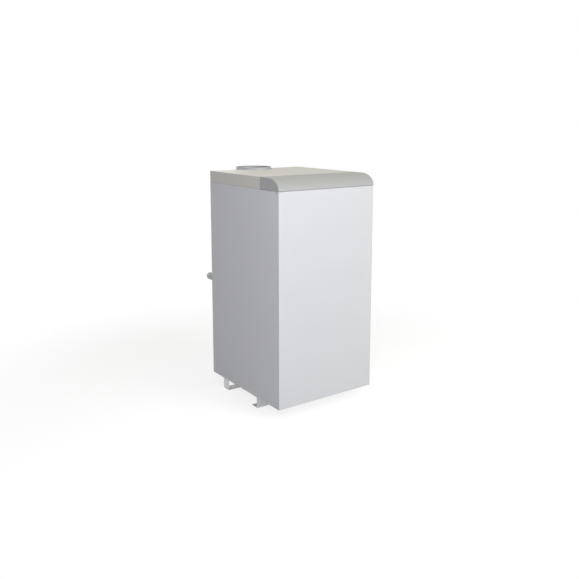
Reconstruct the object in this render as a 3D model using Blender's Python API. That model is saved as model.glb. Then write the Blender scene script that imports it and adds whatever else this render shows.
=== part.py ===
"""Floor standing gas boiler with a draught hood, modelled as its separate pieces.

Metres, +Z up. Seen from the front, +X is to the right and +Y runs to the back. The origin is on
the floor, under the middle of the whole boiler, so the front of the door is at the lowest Y and
the back of the draught hood at the highest.
"""

import math

import bmesh
import bpy
from mathutils import Vector

# Fits shared by all pieces
SEAT = 0.0003
SHEET = 0.0012
CUT_OVERRUN = 0.004
JOIN_OVERLAP = 0.0015

# Casing, as seen from outside
CASING_DEPTH = 0.475
PANEL_HEIGHT = 0.775
CAP_HEIGHT = 0.044
FOOT_HEIGHT = 0.044
HOOD_PROJECTION = 0.125
CAP_SEAM = 0.0015
COVER_SEAM = 0.0025

# Front door, a shallow pan on two pin hinges at its left
DOOR_RETURN = 0.025
DOOR_GAP = 0.003
DOOR_EDGE_RADIUS = 0.0022
DOOR_EDGE_STEPS = 3
DOOR_LIP = 0.026
DOOR_PAD_THICKNESS = 0.010
DOOR_PAD_MARGIN = 0.024
DOOR_AXIS_INSET = 0.006
DOOR_PIN_RADIUS = 0.003
HINGE_TAB_THICKNESS = 0.002
HINGE_TAB_INSET = 0.003
HINGE_TAB_MARGIN = 0.0045
HINGE_LEAF_HEIGHT = 0.026
HINGE_LEAF_THICKNESS = 0.0018
HINGE_LEAF_OFFSET = 0.006
HINGE_SLOT_CLEARANCE = 0.0015
HINGE_SLOT_REACH = 0.0078
MAGNET_HEIGHT = 0.070
MAGNET_WIDTH = 0.016
MAGNET_INSET = 0.006

# Side panels, back panel and top cover
FRONT_RETURN = 0.030
REAR_RETURN = 0.014
HOOD_CUTOUT_CLEARANCE = 0.0015
PIPE_HOLE_CLEARANCE = 0.0012
HOLE_COLLAR_DEPTH = 0.004
VENT_SLOT_COUNT = 6
VENT_SLOT_WIDTH = 0.070
VENT_SLOT_HEIGHT = 0.006
VENT_SLOT_PITCH = 0.014
BACK_VENT_HEIGHT = 0.200
BACK_VENT_X = -0.045

# Base frame and feet
BASE_SHEET = 0.0015
BASE_FLANGE = 0.028
BASE_VENT_PITCH = 0.030
BASE_VENT_WIDTH = 0.058
BASE_VENT_X = 0.035
FOOT_SHEET = 0.0025
FOOT_PLATE_WIDTH = 0.057
FOOT_PLATE_DEPTH = 0.036
FOOT_SIDE_INSET = 0.0025
FRONT_FOOT_SETBACK = 0.149
REAR_FOOT_SETBACK = 0.360
FOOT_HOLE_RADIUS = 0.0045

# Console cover, the curved lid over the controls
COVER_DEPTH = 0.1175
COVER_WALL = 0.002
COVER_CURVE_DEPTH = 0.065
COVER_CURVE_STEPS = 14
COVER_BARREL_RADIUS = 0.0032
COVER_BARREL_STEPS = 6
COVER_PIN_RADIUS = 0.0013
COVER_HINGE_WIDTH = 0.010
COVER_HINGE_FROM_SIDE = 0.045
COVER_HINGE_LEAF = 0.024
COVER_HINGE_LEAF_THICKNESS = 0.0024
COVER_HINGE_EYE_RADIUS = 0.0029
COVER_REAR_GAP = 0.0013

# Control panel under the cover, and the box that hangs from it
PANEL_RISE = 0.0045
PANEL_SHEET = 0.0015
PANEL_SIDE_CLEARANCE = 0.0005
PANEL_FRONT_CLEARANCE = 0.0012
BOX_WALL = 0.0015
BOX_SIDE_MARGIN = 0.020
BOX_DEPTH = 0.076
BOX_HEIGHT = 0.084
BOX_BACK_MARGIN = 0.008
CONTROL_ROW_SETBACK = 0.062

# Boiler thermostat and its knob
KNOB_X = -0.036
KNOB_RADIUS = 0.019
KNOB_GRIP_RADIUS = 0.014
KNOB_SKIRT = 0.003
KNOB_HEIGHT = 0.017
KNOB_ROUNDING = 0.0015
KNOB_GROOVE_COUNT = 12
KNOB_GROOVE_RADIUS = 0.0015
KNOB_GROOVE_DEPTH = 0.0008
SPINDLE_RADIUS = 0.003
SPINDLE_LENGTH = 0.012
THERMOSTAT_RADIUS = 0.018
THERMOSTAT_HEIGHT = 0.026
THERMOSTAT_NECK_RADIUS = 0.006

# Rocker switches
SWITCH_INSET = 0.0495
SWITCH_PITCH = 0.040
SWITCH_WIDTH = 0.024
SWITCH_LENGTH = 0.034
SWITCH_BEZEL = 0.002
SWITCH_BODY_MARGIN = 0.002
SWITCH_BODY_HEIGHT = 0.020
SWITCH_WALL = 0.0025
ROCKER_CLEARANCE = 0.0006
ROCKER_RISE = 0.0035
ROCKER_PIVOT_DEPTH = 0.002
ROCKER_BELLY = 0.007
ROCKER_FLOOR_GAP = 0.0045
ROCKER_SWING = math.radians(9.0)
ROCKER_STEPS = 10
ROCKER_HOLLOW_SHARE = 0.35

# Reset button and the burner control box under it
RESET_INSET = 0.1275
RESET_COLLAR_RADIUS = 0.0075
RESET_COLLAR_WALL = 0.0018
RESET_COLLAR_HEIGHT = 0.0022
RESET_RISE = 0.006
RESET_STEM = 0.009
RESET_TRAVEL = 0.003
RESET_ROUNDING = 0.0008
CONTROLLER_WIDTH = 0.052
CONTROLLER_LENGTH = 0.050
CONTROLLER_TOP_GAP = 0.024
CONTROLLER_ROUNDING = 0.002
CONTROLLER_ROUNDING_STEPS = 2

# Thermometer and pressure gauge
GAUGE_INSET = 0.0775
GAUGE_PITCH = 0.065
GAUGE_BEZEL_RADIUS = 0.023
GAUGE_BEZEL_HEIGHT = 0.005
GAUGE_BEZEL_WALL = 0.0022
GAUGE_DIAL_DEPTH = 0.004
GAUGE_BODY_RADIUS = 0.020
GAUGE_BODY_HEIGHT = 0.022
GAUGE_PIN_RADIUS = 0.0009
GAUGE_PIN_HEIGHT = 0.002
POINTER_HUB_RADIUS = 0.003
POINTER_LENGTH = 0.016
POINTER_TAIL = 0.006
POINTER_TAIL_WIDTH = 0.0028
POINTER_TIP_WIDTH = 0.0005
POINTER_THICKNESS = 0.0008
POINTER_HUB_HEIGHT = 0.0016
POINTER_REST = math.radians(120.0)

# Safety thermostat with its screw cap
SAFETY_X = 0.018
SAFETY_BODY_RADIUS = 0.016
SAFETY_BODY_HEIGHT = 0.024
SAFETY_NECK_RADIUS = 0.0045
SAFETY_NECK_RISE = 0.007
SAFETY_CAP_RADIUS = 0.009
SAFETY_CAP_HEIGHT = 0.012
SAFETY_CAP_ROUNDING = 0.001

# Cable gland
GLAND_INSET = 0.0475
GLAND_HEIGHT = 0.700
GLAND_THREAD_RADIUS = 0.0095
GLAND_HEX_RADIUS = 0.0135
GLAND_HEX_LENGTH = 0.006
GLAND_DOME_RADIUS = 0.0115
GLAND_DOME_LENGTH = 0.013
GLAND_DOME_TAPER = 0.0043
GLAND_TIP_RADIUS = 0.007
GLAND_BORE_RADIUS = 0.0045
GLAND_TAIL = 0.008

# Cast iron heat exchanger
BLOCK_WIDTH = 0.270
BLOCK_HEIGHT = 0.554
BLOCK_LEG = 0.040
END_SECTION_DEPTH = 0.080
MIDDLE_SECTION_DEPTH = 0.092
WATER_WALL = 0.008
CHAMBER_HEIGHT = 0.205
CHAMBER_CORNER = 0.020
CHAMBER_BACK_WALL = 0.010
SECTION_SHOULDER = 0.018
FLUE_WAY_MARGIN = 0.01275
FLUE_WAY_DEPTH = 0.012
HOOD_TO_BLOCK = 0.006
TIE_ROD_RADIUS = 0.005
TIE_ROD_FROM_SIDE = 0.0228
TIE_ROD_FRONT_STICKOUT = 0.018
TIE_ROD_BACK_STICKOUT = 0.012
TIE_NUT_RADIUS = 0.0092
TIE_NUT_LENGTH = 0.008
BLANKET_THICKNESS = 0.022
BLANKET_HEIGHT = 0.520

# Water connections, one inch pipe
PIPE_RADIUS = 0.01685
PIPE_BORE_RADIUS = 0.0136
PORT_FROM_SIDE = 0.020
RETURN_HEIGHT = 0.100
FLOW_HEIGHT = 0.555
PIPE_PROJECTION = 0.055
DRAIN_BODY_RADIUS = 0.0105
DRAIN_FLANGE_RADIUS = 0.0145
DRAIN_FLANGE = 0.006
DRAIN_LENGTH = 0.034
DRAIN_BARB_RADIUS = 0.0078
DRAIN_BARB_LENGTH = 0.016
DRAIN_BORE_RADIUS = 0.005
DRAIN_STEM_RADIUS = 0.0042
DRAIN_STEM_RISE = 0.008
LEVER_HUB_RADIUS = 0.0068
LEVER_THICKNESS = 0.0032
LEVER_LENGTH = 0.042
LEVER_WIDTH = 0.009

# Flue collector and draught hood
HOOD_SHEET = 0.0012
HOOD_WIDTH = 0.270
HOOD_TOP_DROP = 0.017
HOOD_HEIGHT = 0.2275
COLLAR_RADIUS = 0.0715
COLLAR_WALL = 0.0012
COLLAR_RISE = 0.007
COLLAR_SETBACK = 0.494
COLLAR_CLEARANCE = 0.004
COLLAR_MARGIN = 0.0135
COLLECTOR_WIDTH = 0.202
COLLECTOR_HEIGHT = 0.078
COLLECTOR_FRONT_MARGIN = 0.020
COLLECTOR_PORT_WIDTH = 0.170
COLLECTOR_PORT_HEIGHT = 0.044
COLLECTOR_PORT_RISE = 0.026
SPILL_SENSOR_RADIUS = 0.0085
SPILL_SENSOR_HEIGHT = 0.006
SPILL_STUD_RADIUS = 0.004
SPILL_STUD_HEIGHT = 0.005
SPILL_FROM_BACK = 0.045
SPILL_RISE = 0.030

# Burner
BURNER_COUNT = 3
BURNER_PITCH = 0.060
BURNER_HEIGHT = 0.092
BURNER_WIDTH = 0.020
BURNER_BAR_HEIGHT = 0.034
BURNER_BAR_LIFT = 0.004
BURNER_BACK_MARGIN = 0.012
BURNER_NECK_RADIUS = 0.0100
BURNER_MOUTH_RADIUS = 0.0150
BURNER_MOUTH_LENGTH = 0.012
BURNER_MOUTH_STICKOUT = 0.016
BURNER_BORE_RADIUS = 0.0080
BURNER_BAR_ARC_STEPS = 6
TRAY_SHEET = 0.0015
TRAY_SIDE_CLEARANCE = 0.004
TRAY_FLOOR_GAP = 0.004
BURNER_PLATE_THICKNESS = 0.0025
BURNER_PLATE_OVERLAP = 0.005
BURNER_PLATE_HEIGHT = 0.076
ELECTRODE_RADIUS = 0.004
ELECTRODE_TIP_RADIUS = 0.0012
ELECTRODE_FRONT = 0.026
ELECTRODE_BACK = 0.030
ELECTRODE_TIP = 0.028
ELECTRODE_TERMINAL = 0.0065
ELECTRODE_FLANGE_RADIUS = 0.0065
ELECTRODE_FLANGE = 0.002
ELECTRODE_RISE = 0.016

# Chamber plate with the sight glass and its flap
CHAMBER_PLATE_THICKNESS = 0.003
CHAMBER_PLATE_COVER = 0.018
SIGHT_X = -0.055
SIGHT_HEIGHT = 0.170
SIGHT_RADIUS = 0.012
FLAP_RADIUS = 0.0155
FLAP_THICKNESS = 0.0015
FLAP_PIVOT_RISE = 0.024
FLAP_PIVOT_RADIUS = 0.0022
FLAP_EAR_RADIUS = 0.0055
FLAP_NECK_WIDTH = 0.0086
FLAP_PIVOT_LENGTH = 0.0035

# Gas line
GAS_PIPE_RADIUS = 0.01345
GAS_PIPE_WALL = 0.0026
GAS_PIPE_INSET = 0.034
GAS_PIPE_TO_BLANKET = 0.00775
GAS_INLET_HEIGHT = 0.425
GAS_PIPE_PROJECTION = 0.083
GAS_ELBOW_RADIUS = 0.025
GAS_ELBOW_STEPS = 5
GAS_CROSSING_RISE = 0.062
VALVE_WIDTH = 0.046
VALVE_DEPTH = 0.060
VALVE_HEIGHT = 0.058
VALVE_BEVEL = 0.003
VALVE_BEVEL_STEPS = 2
VALVE_TO_GAS_PIPE = 0.0515
VALVE_TOWER_RADIUS = 0.014
VALVE_TOWER_HEIGHT = 0.030
MANIFOLD_RADIUS = 0.0105
MANIFOLD_BORE = 0.0080
MANIFOLD_END_MARGIN = 0.016
MANIFOLD_TO_MOUTH = 0.028
INJECTOR_RADIUS = 0.0055
INJECTOR_LENGTH = 0.009
INJECTOR_BORE = 0.0012

# Smoothness of round pieces
FINE_STEPS = 48
ROUND_STEPS = 24
SMALL_STEPS = 16
TINY_STEPS = 10
HEX_STEPS = 6
SHARP_ANGLE = math.radians(32.0)
ROUND_PROFILE_SHARE = 0.5

# Places worked out from the sizes above. The casing is as wide as the block, its blanket and
# the gas pipe beside it need, with the same room on the other side: 425 mm here.
BLANKET_HALF = BLOCK_WIDTH / 2 + SEAT + BLANKET_THICKNESS
GAS_PIPE_REACH = BLANKET_HALF + GAS_PIPE_TO_BLANKET + GAS_PIPE_RADIUS
CASING_WIDTH = 2 * (GAS_PIPE_REACH + GAS_PIPE_INSET)
LEFT = -CASING_WIDTH / 2
RIGHT = CASING_WIDTH / 2
FRONT = -(CASING_DEPTH + HOOD_PROJECTION) / 2
BACK = FRONT + CASING_DEPTH
REAR = BACK + HOOD_PROJECTION
BOTTOM = FOOT_HEIGHT
PANEL_TOP = BOTTOM + PANEL_HEIGHT
TOP = PANEL_TOP + CAP_HEIGHT
PANEL_FRONT = FRONT + DOOR_RETURN + DOOR_GAP
INNER_HALF = CASING_WIDTH / 2 - SHEET - SEAT
BACK_OUTER = BACK - SHEET - SEAT
BACK_INNER = BACK_OUTER - SHEET
BASE_TOP = BOTTOM + BASE_SHEET
COVER_BOTTOM = PANEL_TOP + COVER_SEAM
COVER_AXIS_Y = FRONT + COVER_DEPTH - COVER_REAR_GAP - COVER_BARREL_RADIUS
COVER_AXIS_Z = TOP - COVER_BARREL_RADIUS
CAP_FRONT = FRONT + COVER_DEPTH
DOOR_AXIS_X = LEFT + DOOR_AXIS_INSET
DOOR_AXIS_Y = FRONT + DOOR_RETURN / 2
PANEL_BOTTOM = PANEL_TOP + PANEL_RISE
PANEL_FACE = PANEL_BOTTOM + PANEL_SHEET
CONTROL_ROW_Y = FRONT + CONTROL_ROW_SETBACK
MAIN_SWITCH_X = LEFT + SWITCH_INSET
SEASON_SWITCH_X = MAIN_SWITCH_X + SWITCH_PITCH
RESET_X = LEFT + RESET_INSET
PRESSURE_GAUGE_X = RIGHT - GAUGE_INSET
THERMOMETER_X = PRESSURE_GAUGE_X - GAUGE_PITCH
GLAND_X = RIGHT - GLAND_INSET
COLLAR_Y = FRONT + COLLAR_SETBACK
HOOD_FRONT = COLLAR_Y - COLLAR_RADIUS - COLLAR_MARGIN
HOOD_TOP = TOP - HOOD_TOP_DROP
HOOD_BOTTOM = HOOD_TOP - HOOD_HEIGHT
BLOCK_BACK = HOOD_FRONT - HOOD_TO_BLOCK
BLOCK_DEPTH = 2 * END_SECTION_DEPTH + MIDDLE_SECTION_DEPTH + 2 * SEAT
BLOCK_FRONT = BLOCK_BACK - BLOCK_DEPTH
BLOCK_BOTTOM = BASE_TOP + SEAT
BLOCK_TOP = BLOCK_BOTTOM + BLOCK_HEIGHT
CHAMBER_HALF = BLOCK_WIDTH / 2 - BLOCK_LEG
CHAMBER_TOP = BLOCK_BOTTOM + CHAMBER_HEIGHT
PORT_X = BLOCK_WIDTH / 2 - PORT_FROM_SIDE
GAS_X = LEFT + GAS_PIPE_INSET
VALVE_X = GAS_X + VALVE_TO_GAS_PIPE
BURNER_PLATE_FRONT = BLOCK_FRONT - SEAT - BURNER_PLATE_THICKNESS
BURNER_PLATE_TOP = BLOCK_BOTTOM + BURNER_PLATE_HEIGHT
MOUTH_FRONT = BURNER_PLATE_FRONT - BURNER_MOUTH_STICKOUT
MANIFOLD_Y = MOUTH_FRONT - MANIFOLD_TO_MOUTH
BURNER_BAR_BOTTOM = BURNER_HEIGHT - BURNER_BAR_HEIGHT / 2 + BURNER_BAR_LIFT
BURNER_XS = [(i - (BURNER_COUNT - 1) / 2) * BURNER_PITCH for i in range(BURNER_COUNT)]


def clear_scene():
    for obj in list(bpy.data.objects):
        bpy.data.objects.remove(obj, do_unlink=True)


def make_material(name, color, roughness, metallic=0.0):
    material = bpy.data.materials.new(name)
    material.use_nodes = True
    shader = material.node_tree.nodes["Principled BSDF"]
    shader.inputs["Base Color"].default_value = (*color, 1.0)
    shader.inputs["Roughness"].default_value = roughness
    shader.inputs["Metallic"].default_value = metallic
    material.diffuse_color = (*color, 1.0)
    return material


# Corner numbers of each side of a box: X changes first, then Y, then Z
BOX_SIDES = {
    (0, False): (0, 4, 6, 2),
    (0, True): (1, 3, 7, 5),
    (1, False): (0, 1, 5, 4),
    (1, True): (2, 6, 7, 3),
    (2, False): (0, 2, 3, 1),
    (2, True): (4, 5, 7, 6),
}


def box_corners(bm, low, high):
    ranges = list(zip(low, high))
    return [bm.verts.new((x, y, z)) for z in ranges[2] for y in ranges[1] for x in ranges[0]]


def add_box(bm, low, high):
    """Adds a cuboid between two opposite corners."""
    corners = box_corners(bm, low, high)
    for side in BOX_SIDES.values():
        bm.faces.new([corners[i] for i in side])


def add_open_box(bm, low, high, wall, open_axis, open_high):
    """Adds a box of sheet with one side left open: the high or the low side of the axis 0, 1 or 2."""
    inner_low = [value + wall for value in low]
    inner_high = [value - wall for value in high]
    if open_high:
        inner_high[open_axis] = high[open_axis]
    else:
        inner_low[open_axis] = low[open_axis]
    outer = box_corners(bm, low, high)
    inner = box_corners(bm, inner_low, inner_high)
    mouth = BOX_SIDES[open_axis, open_high]
    for side in BOX_SIDES.values():
        if side != mouth:
            bm.faces.new([outer[i] for i in side])
            bm.faces.new([inner[i] for i in side])
    for a, b in zip(mouth, mouth[1:] + mouth[:1]):
        bm.faces.new((outer[a], outer[b], inner[b], inner[a]))


def round_edges(bm, edges, radius, steps):
    profile = ROUND_PROFILE_SHARE
    bmesh.ops.bevel(bm, geom=edges, offset=radius, segments=steps, affect="EDGES", profile=profile)


def add_prism(bm, outline, axis, start, end):
    """Extrudes a flat outline along axis 0, 1 or 2. Its points give the two other coordinates in order."""
    others = [i for i in range(3) if i != axis]
    rings = []
    for place in (start, end):
        ring = []
        for point in outline:
            corner = [place] * 3
            corner[others[0]], corner[others[1]] = point
            ring.append(bm.verts.new(corner))
        rings.append(ring)
    for ring in rings:
        bm.faces.new(ring)
    low, high = rings
    for i in range(len(outline)):
        j = (i + 1) % len(outline)
        bm.faces.new((low[i], low[j], high[j], high[i]))


def ring_points(centre, along, radius, steps, turn=0.0):
    """Points of a circle around a direction."""
    turned = along.to_track_quat("Z", "Y").to_matrix()
    angles = [turn + 2 * math.pi * i / steps for i in range(steps)]
    return [centre + turned @ Vector((radius * math.cos(a), radius * math.sin(a), 0)) for a in angles]


def add_turned(bm, profile, centre, along, steps, closed=False, turn=0.0):
    """Turns (radius, distance along) points round a line. A closed profile leaves a bore."""
    centre = Vector(centre)
    along = Vector(along)
    rings = []
    for radius, distance in profile:
        middle = centre + along * distance
        if radius == 0:
            rings.append([bm.verts.new(middle)])
        else:
            rings.append([bm.verts.new(p) for p in ring_points(middle, along, radius, steps, turn)])
    pairs = list(zip(rings, rings[1:]))
    if closed:
        pairs.append((rings[-1], rings[0]))
    for first, second in pairs:
        for i in range(steps):
            j = (i + 1) % steps
            corners = [first[i % len(first)], first[j % len(first)]]
            corners += [second[j % len(second)], second[i % len(second)]]
            bm.faces.new(list(dict.fromkeys(corners)))


def add_cylinder(bm, centre, along, radius, length, steps):
    """Adds a plain cylinder that starts at centre and runs along."""
    add_turned(bm, [(0, 0), (radius, 0), (radius, length), (0, length)], centre, along, steps)


def add_ring(bm, centre, along, radius, bore, length, steps):
    """Adds a plain tube that starts at centre and runs along."""
    profile = [(radius, 0), (radius, length), (bore, length), (bore, 0)]
    add_turned(bm, profile, centre, along, steps, closed=True)


def folded(points, thickness):
    """Outline of a sheet of even thickness whose outer face follows the points, on their right side."""
    inner = []
    for i, point in enumerate(points):
        here = Vector(point)
        before = (here - Vector(points[i - 1])).normalized() if i else None
        after = (Vector(points[i + 1]) - here).normalized() if i < len(points) - 1 else None
        before = before or after
        after = after or before
        left_before = Vector((-before.y, before.x))
        left_after = Vector((-after.y, after.x))
        middle = (left_before + left_after).normalized()
        inner.append(here + middle * (thickness / middle.dot(left_before)))
    return [tuple(p) for p in points] + [tuple(p) for p in reversed(inner)]


def arc(centre, radius_a, radius_b, start, end, steps):
    """Points of an ellipse's arc in a plane, both ends included."""
    angles = [start + (end - start) * i / steps for i in range(steps + 1)]
    return [(centre[0] + radius_a * math.cos(a), centre[1] + radius_b * math.sin(a)) for a in angles]


def rounded_route(points, radius, steps):
    """A route through the points with each corner turned into an arc."""
    route = [Vector(points[0])]
    for before, corner, after in zip(points, points[1:], points[2:]):
        corner = Vector(corner)
        back = (Vector(before) - corner).normalized()
        ahead = (Vector(after) - corner).normalized()
        half = back.angle(ahead) / 2
        reach = radius / math.tan(half)
        centre = corner + (back + ahead).normalized() * (radius / math.sin(half))
        start = corner + back * reach - centre
        end = corner + ahead * reach - centre
        whole = start.angle(end)
        for i in range(steps + 1):
            t = whole * i / steps
            route.append(centre + (start * math.sin(whole - t) + end * math.sin(t)) / math.sin(whole))
    route.append(Vector(points[-1]))
    return route


def add_pipe(bm, route, radius, bore, steps):
    """Sweeps a tube with an open bore along a route of points."""
    side = Vector((0, 0, 1))
    outer, inner = [], []
    for i, point in enumerate(route):
        ahead = (route[min(i + 1, len(route) - 1)] - route[max(i - 1, 0)]).normalized()
        side = (side - ahead * side.dot(ahead)).normalized()
        other = ahead.cross(side)
        angles = [2 * math.pi * k / steps for k in range(steps)]
        around = [side * math.cos(a) + other * math.sin(a) for a in angles]
        outer.append([bm.verts.new(point + d * radius) for d in around])
        inner.append([bm.verts.new(point + d * bore) for d in around])
    rings = outer + inner[::-1]
    for first, second in zip(rings, rings[1:] + rings[:1]):
        for i in range(steps):
            j = (i + 1) % steps
            bm.faces.new((first[i], first[j], second[j], second[i]))


def new_object(name, bm, origin):
    """Turns a bmesh in world places into an object whose origin is the given point."""
    bmesh.ops.recalc_face_normals(bm, faces=bm.faces)
    bmesh.ops.translate(bm, verts=bm.verts, vec=-Vector(origin))
    mesh = bpy.data.meshes.new(name)
    bm.to_mesh(mesh)
    bm.free()
    obj = bpy.data.objects.new(name, mesh)
    bpy.context.collection.objects.link(obj)
    return obj


def piece(name, bm, material, origin=(0, 0, 0), parent=None):
    """One piece of the boiler, with its origin at a point of its own."""
    obj = new_object(name, bm, origin)
    obj.data.materials.append(material)
    obj.data.shade_smooth()
    obj.data.set_sharp_from_angle(angle=SHARP_ANGLE)
    obj.location = origin
    if parent:
        obj.parent = parent
        obj.location = Vector(origin) - parent.location
    return obj


def world_origin(obj):
    """Where a piece's origin is, its parents' places added up."""
    place = Vector(obj.location)
    while obj.parent:
        obj = obj.parent
        place += obj.location
    return place


def boolean(obj, bm, operation):
    """Cuts a helper shape from a piece, or joins it on. The helper rides with the piece."""
    label = f"{obj.name}_{operation.lower()}_{len(obj.modifiers) + 1}"
    helper = new_object(label, bm, world_origin(obj))
    helper.parent = obj
    helper.hide_render = True
    helper.display_type = "WIRE"
    modifier = obj.modifiers.new(label, "BOOLEAN")
    modifier.operation = operation
    modifier.object = helper
    modifier.solver = "EXACT"


def cut(obj, bm):
    boolean(obj, bm, "DIFFERENCE")


def join(obj, bm):
    boolean(obj, bm, "UNION")


def mirrored(value, side):
    """A distance from the middle plane, put on the left (-1) or the right (1)."""
    return value * side


def span(a, b):
    return min(a, b), max(a, b)


def build_base_frame(steel):
    bm = bmesh.new()
    low = (-INNER_HALF, PANEL_FRONT + SHEET + SEAT, BOTTOM)
    high = (INNER_HALF, BACK_INNER - SEAT, BOTTOM + BASE_FLANGE)
    add_open_box(bm, low, high, BASE_SHEET, 2, True)
    frame = piece("base_frame", bm, steel)
    bm = bmesh.new()
    for i in range(VENT_SLOT_COUNT):
        y = BLOCK_FRONT + (i + 1) * BASE_VENT_PITCH
        for x in (-BASE_VENT_X, BASE_VENT_X):
            low = (x - BASE_VENT_WIDTH / 2, y, BOTTOM - CUT_OVERRUN)
            add_box(bm, low, (x + BASE_VENT_WIDTH / 2, y + VENT_SLOT_HEIGHT, BASE_TOP + CUT_OVERRUN))
    cut(frame, bm)


def build_feet(steel):
    top = BOTTOM - SEAT
    for side, label in ((-1, "left"), (1, "right")):
        outer = mirrored(RIGHT - FOOT_SIDE_INSET, side)
        inner = outer - mirrored(FOOT_PLATE_WIDTH, side)
        y = FRONT + FRONT_FOOT_SETBACK
        flange_end = y + FOOT_PLATE_DEPTH
        bm = bmesh.new()
        outline = folded([(flange_end, 0), (y, 0), (y, top), (flange_end, top)], -FOOT_SHEET)
        add_prism(bm, outline, 0, *span(outer, inner))
        foot = piece(f"front_{label}_foot", bm, steel)
        cut_foot_hole(foot, (outer + inner) / 2, y + (FOOT_PLATE_DEPTH + FOOT_SHEET) / 2)

        y = FRONT + REAR_FOOT_SETBACK
        bm = bmesh.new()
        outline = folded([(inner, 0), (outer, 0), (outer, top), (inner, top)], mirrored(FOOT_SHEET, side))
        add_prism(bm, outline, 1, y, y + FOOT_PLATE_DEPTH)
        foot = piece(f"rear_{label}_foot", bm, steel)
        cut_foot_hole(foot, (outer + inner) / 2, y + FOOT_PLATE_DEPTH / 2)


def cut_foot_hole(foot, x, y):
    bm = bmesh.new()
    length = FOOT_SHEET + 2 * CUT_OVERRUN
    add_cylinder(bm, (x, y, -CUT_OVERRUN), (0, 0, 1), FOOT_HOLE_RADIUS, length, SMALL_STEPS)
    cut(foot, bm)


def build_side_panels(paint):
    for side, label in ((-1, "left"), (1, "right")):
        outer = mirrored(RIGHT, side)
        points = [
            (outer - mirrored(REAR_RETURN, side), BACK),
            (outer, BACK),
            (outer, PANEL_FRONT),
            (outer - mirrored(FRONT_RETURN, side), PANEL_FRONT),
        ]
        bm = bmesh.new()
        add_prism(bm, folded(points, mirrored(-SHEET, side)), 2, BOTTOM, PANEL_TOP)
        piece(f"{label}_side_panel", bm, paint)


def build_back_panel(steel):
    """A flat sheet. The holes of the gas pipe and the cable gland have drawn collars on the inside."""
    bm = bmesh.new()
    add_box(bm, (-INNER_HALF, BACK_INNER, BOTTOM), (INNER_HALF, BACK_OUTER, TOP - SHEET - SEAT))
    panel = piece("back_panel", bm, steel)
    collars = ((GAS_X, GAS_INLET_HEIGHT, GAS_PIPE_RADIUS), (GLAND_X, GLAND_HEIGHT, GLAND_THREAD_RADIUS))
    for x, z, radius in collars:
        bm = bmesh.new()
        start = (x, BACK_INNER - HOLE_COLLAR_DEPTH, z)
        length = HOLE_COLLAR_DEPTH + SHEET / 2
        add_cylinder(bm, start, (0, 1, 0), radius + SEAT + SHEET, length, ROUND_STEPS)
        join(panel, bm)
    bm = bmesh.new()
    half = HOOD_WIDTH / 2 + HOOD_CUTOUT_CLEARANCE
    low = (-half, BACK_INNER - CUT_OVERRUN, HOOD_BOTTOM - HOOD_CUTOUT_CLEARANCE)
    add_box(bm, low, (half, BACK_OUTER + CUT_OVERRUN, TOP + CUT_OVERRUN))
    for i in range(VENT_SLOT_COUNT):
        z = BACK_VENT_HEIGHT + i * VENT_SLOT_PITCH
        low = (BACK_VENT_X - VENT_SLOT_WIDTH / 2, BACK_INNER - CUT_OVERRUN, z)
        add_box(bm, low, (BACK_VENT_X + VENT_SLOT_WIDTH / 2, BACK_OUTER + CUT_OVERRUN, z + VENT_SLOT_HEIGHT))
    holes = (
        (PORT_X, RETURN_HEIGHT, PIPE_RADIUS + PIPE_HOLE_CLEARANCE),
        (PORT_X, FLOW_HEIGHT, PIPE_RADIUS + PIPE_HOLE_CLEARANCE),
        (GAS_X, GAS_INLET_HEIGHT, GAS_PIPE_RADIUS + SEAT),
        (GLAND_X, GLAND_HEIGHT, GLAND_THREAD_RADIUS + SEAT),
    )
    for x, z, radius in holes:
        start = (x, BACK_INNER - HOLE_COLLAR_DEPTH - CUT_OVERRUN, z)
        length = HOLE_COLLAR_DEPTH + SHEET + 2 * CUT_OVERRUN
        add_cylinder(bm, start, (0, 1, 0), radius, length, ROUND_STEPS)
    cut(panel, bm)


def build_top_cover(paint):
    bm = bmesh.new()
    add_open_box(bm, (LEFT, CAP_FRONT, PANEL_TOP + CAP_SEAM), (RIGHT, BACK, TOP), SHEET, 2, False)
    cover = piece("top_cover", bm, paint)
    bm = bmesh.new()
    half = HOOD_WIDTH / 2 + HOOD_CUTOUT_CLEARANCE
    low = (-half, BACK - SHEET - SEAT / 2, PANEL_TOP - CUT_OVERRUN)
    add_box(bm, low, (half, BACK + CUT_OVERRUN, HOOD_TOP + HOOD_CUTOUT_CLEARANCE))
    cut(cover, bm)
    bm = bmesh.new()
    start = (0, COLLAR_Y, HOOD_TOP - CUT_OVERRUN)
    length = TOP - HOOD_TOP + 2 * CUT_OVERRUN
    add_cylinder(bm, start, (0, 0, 1), COLLAR_RADIUS + COLLAR_CLEARANCE, length, FINE_STEPS)
    cut(cover, bm)


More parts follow.
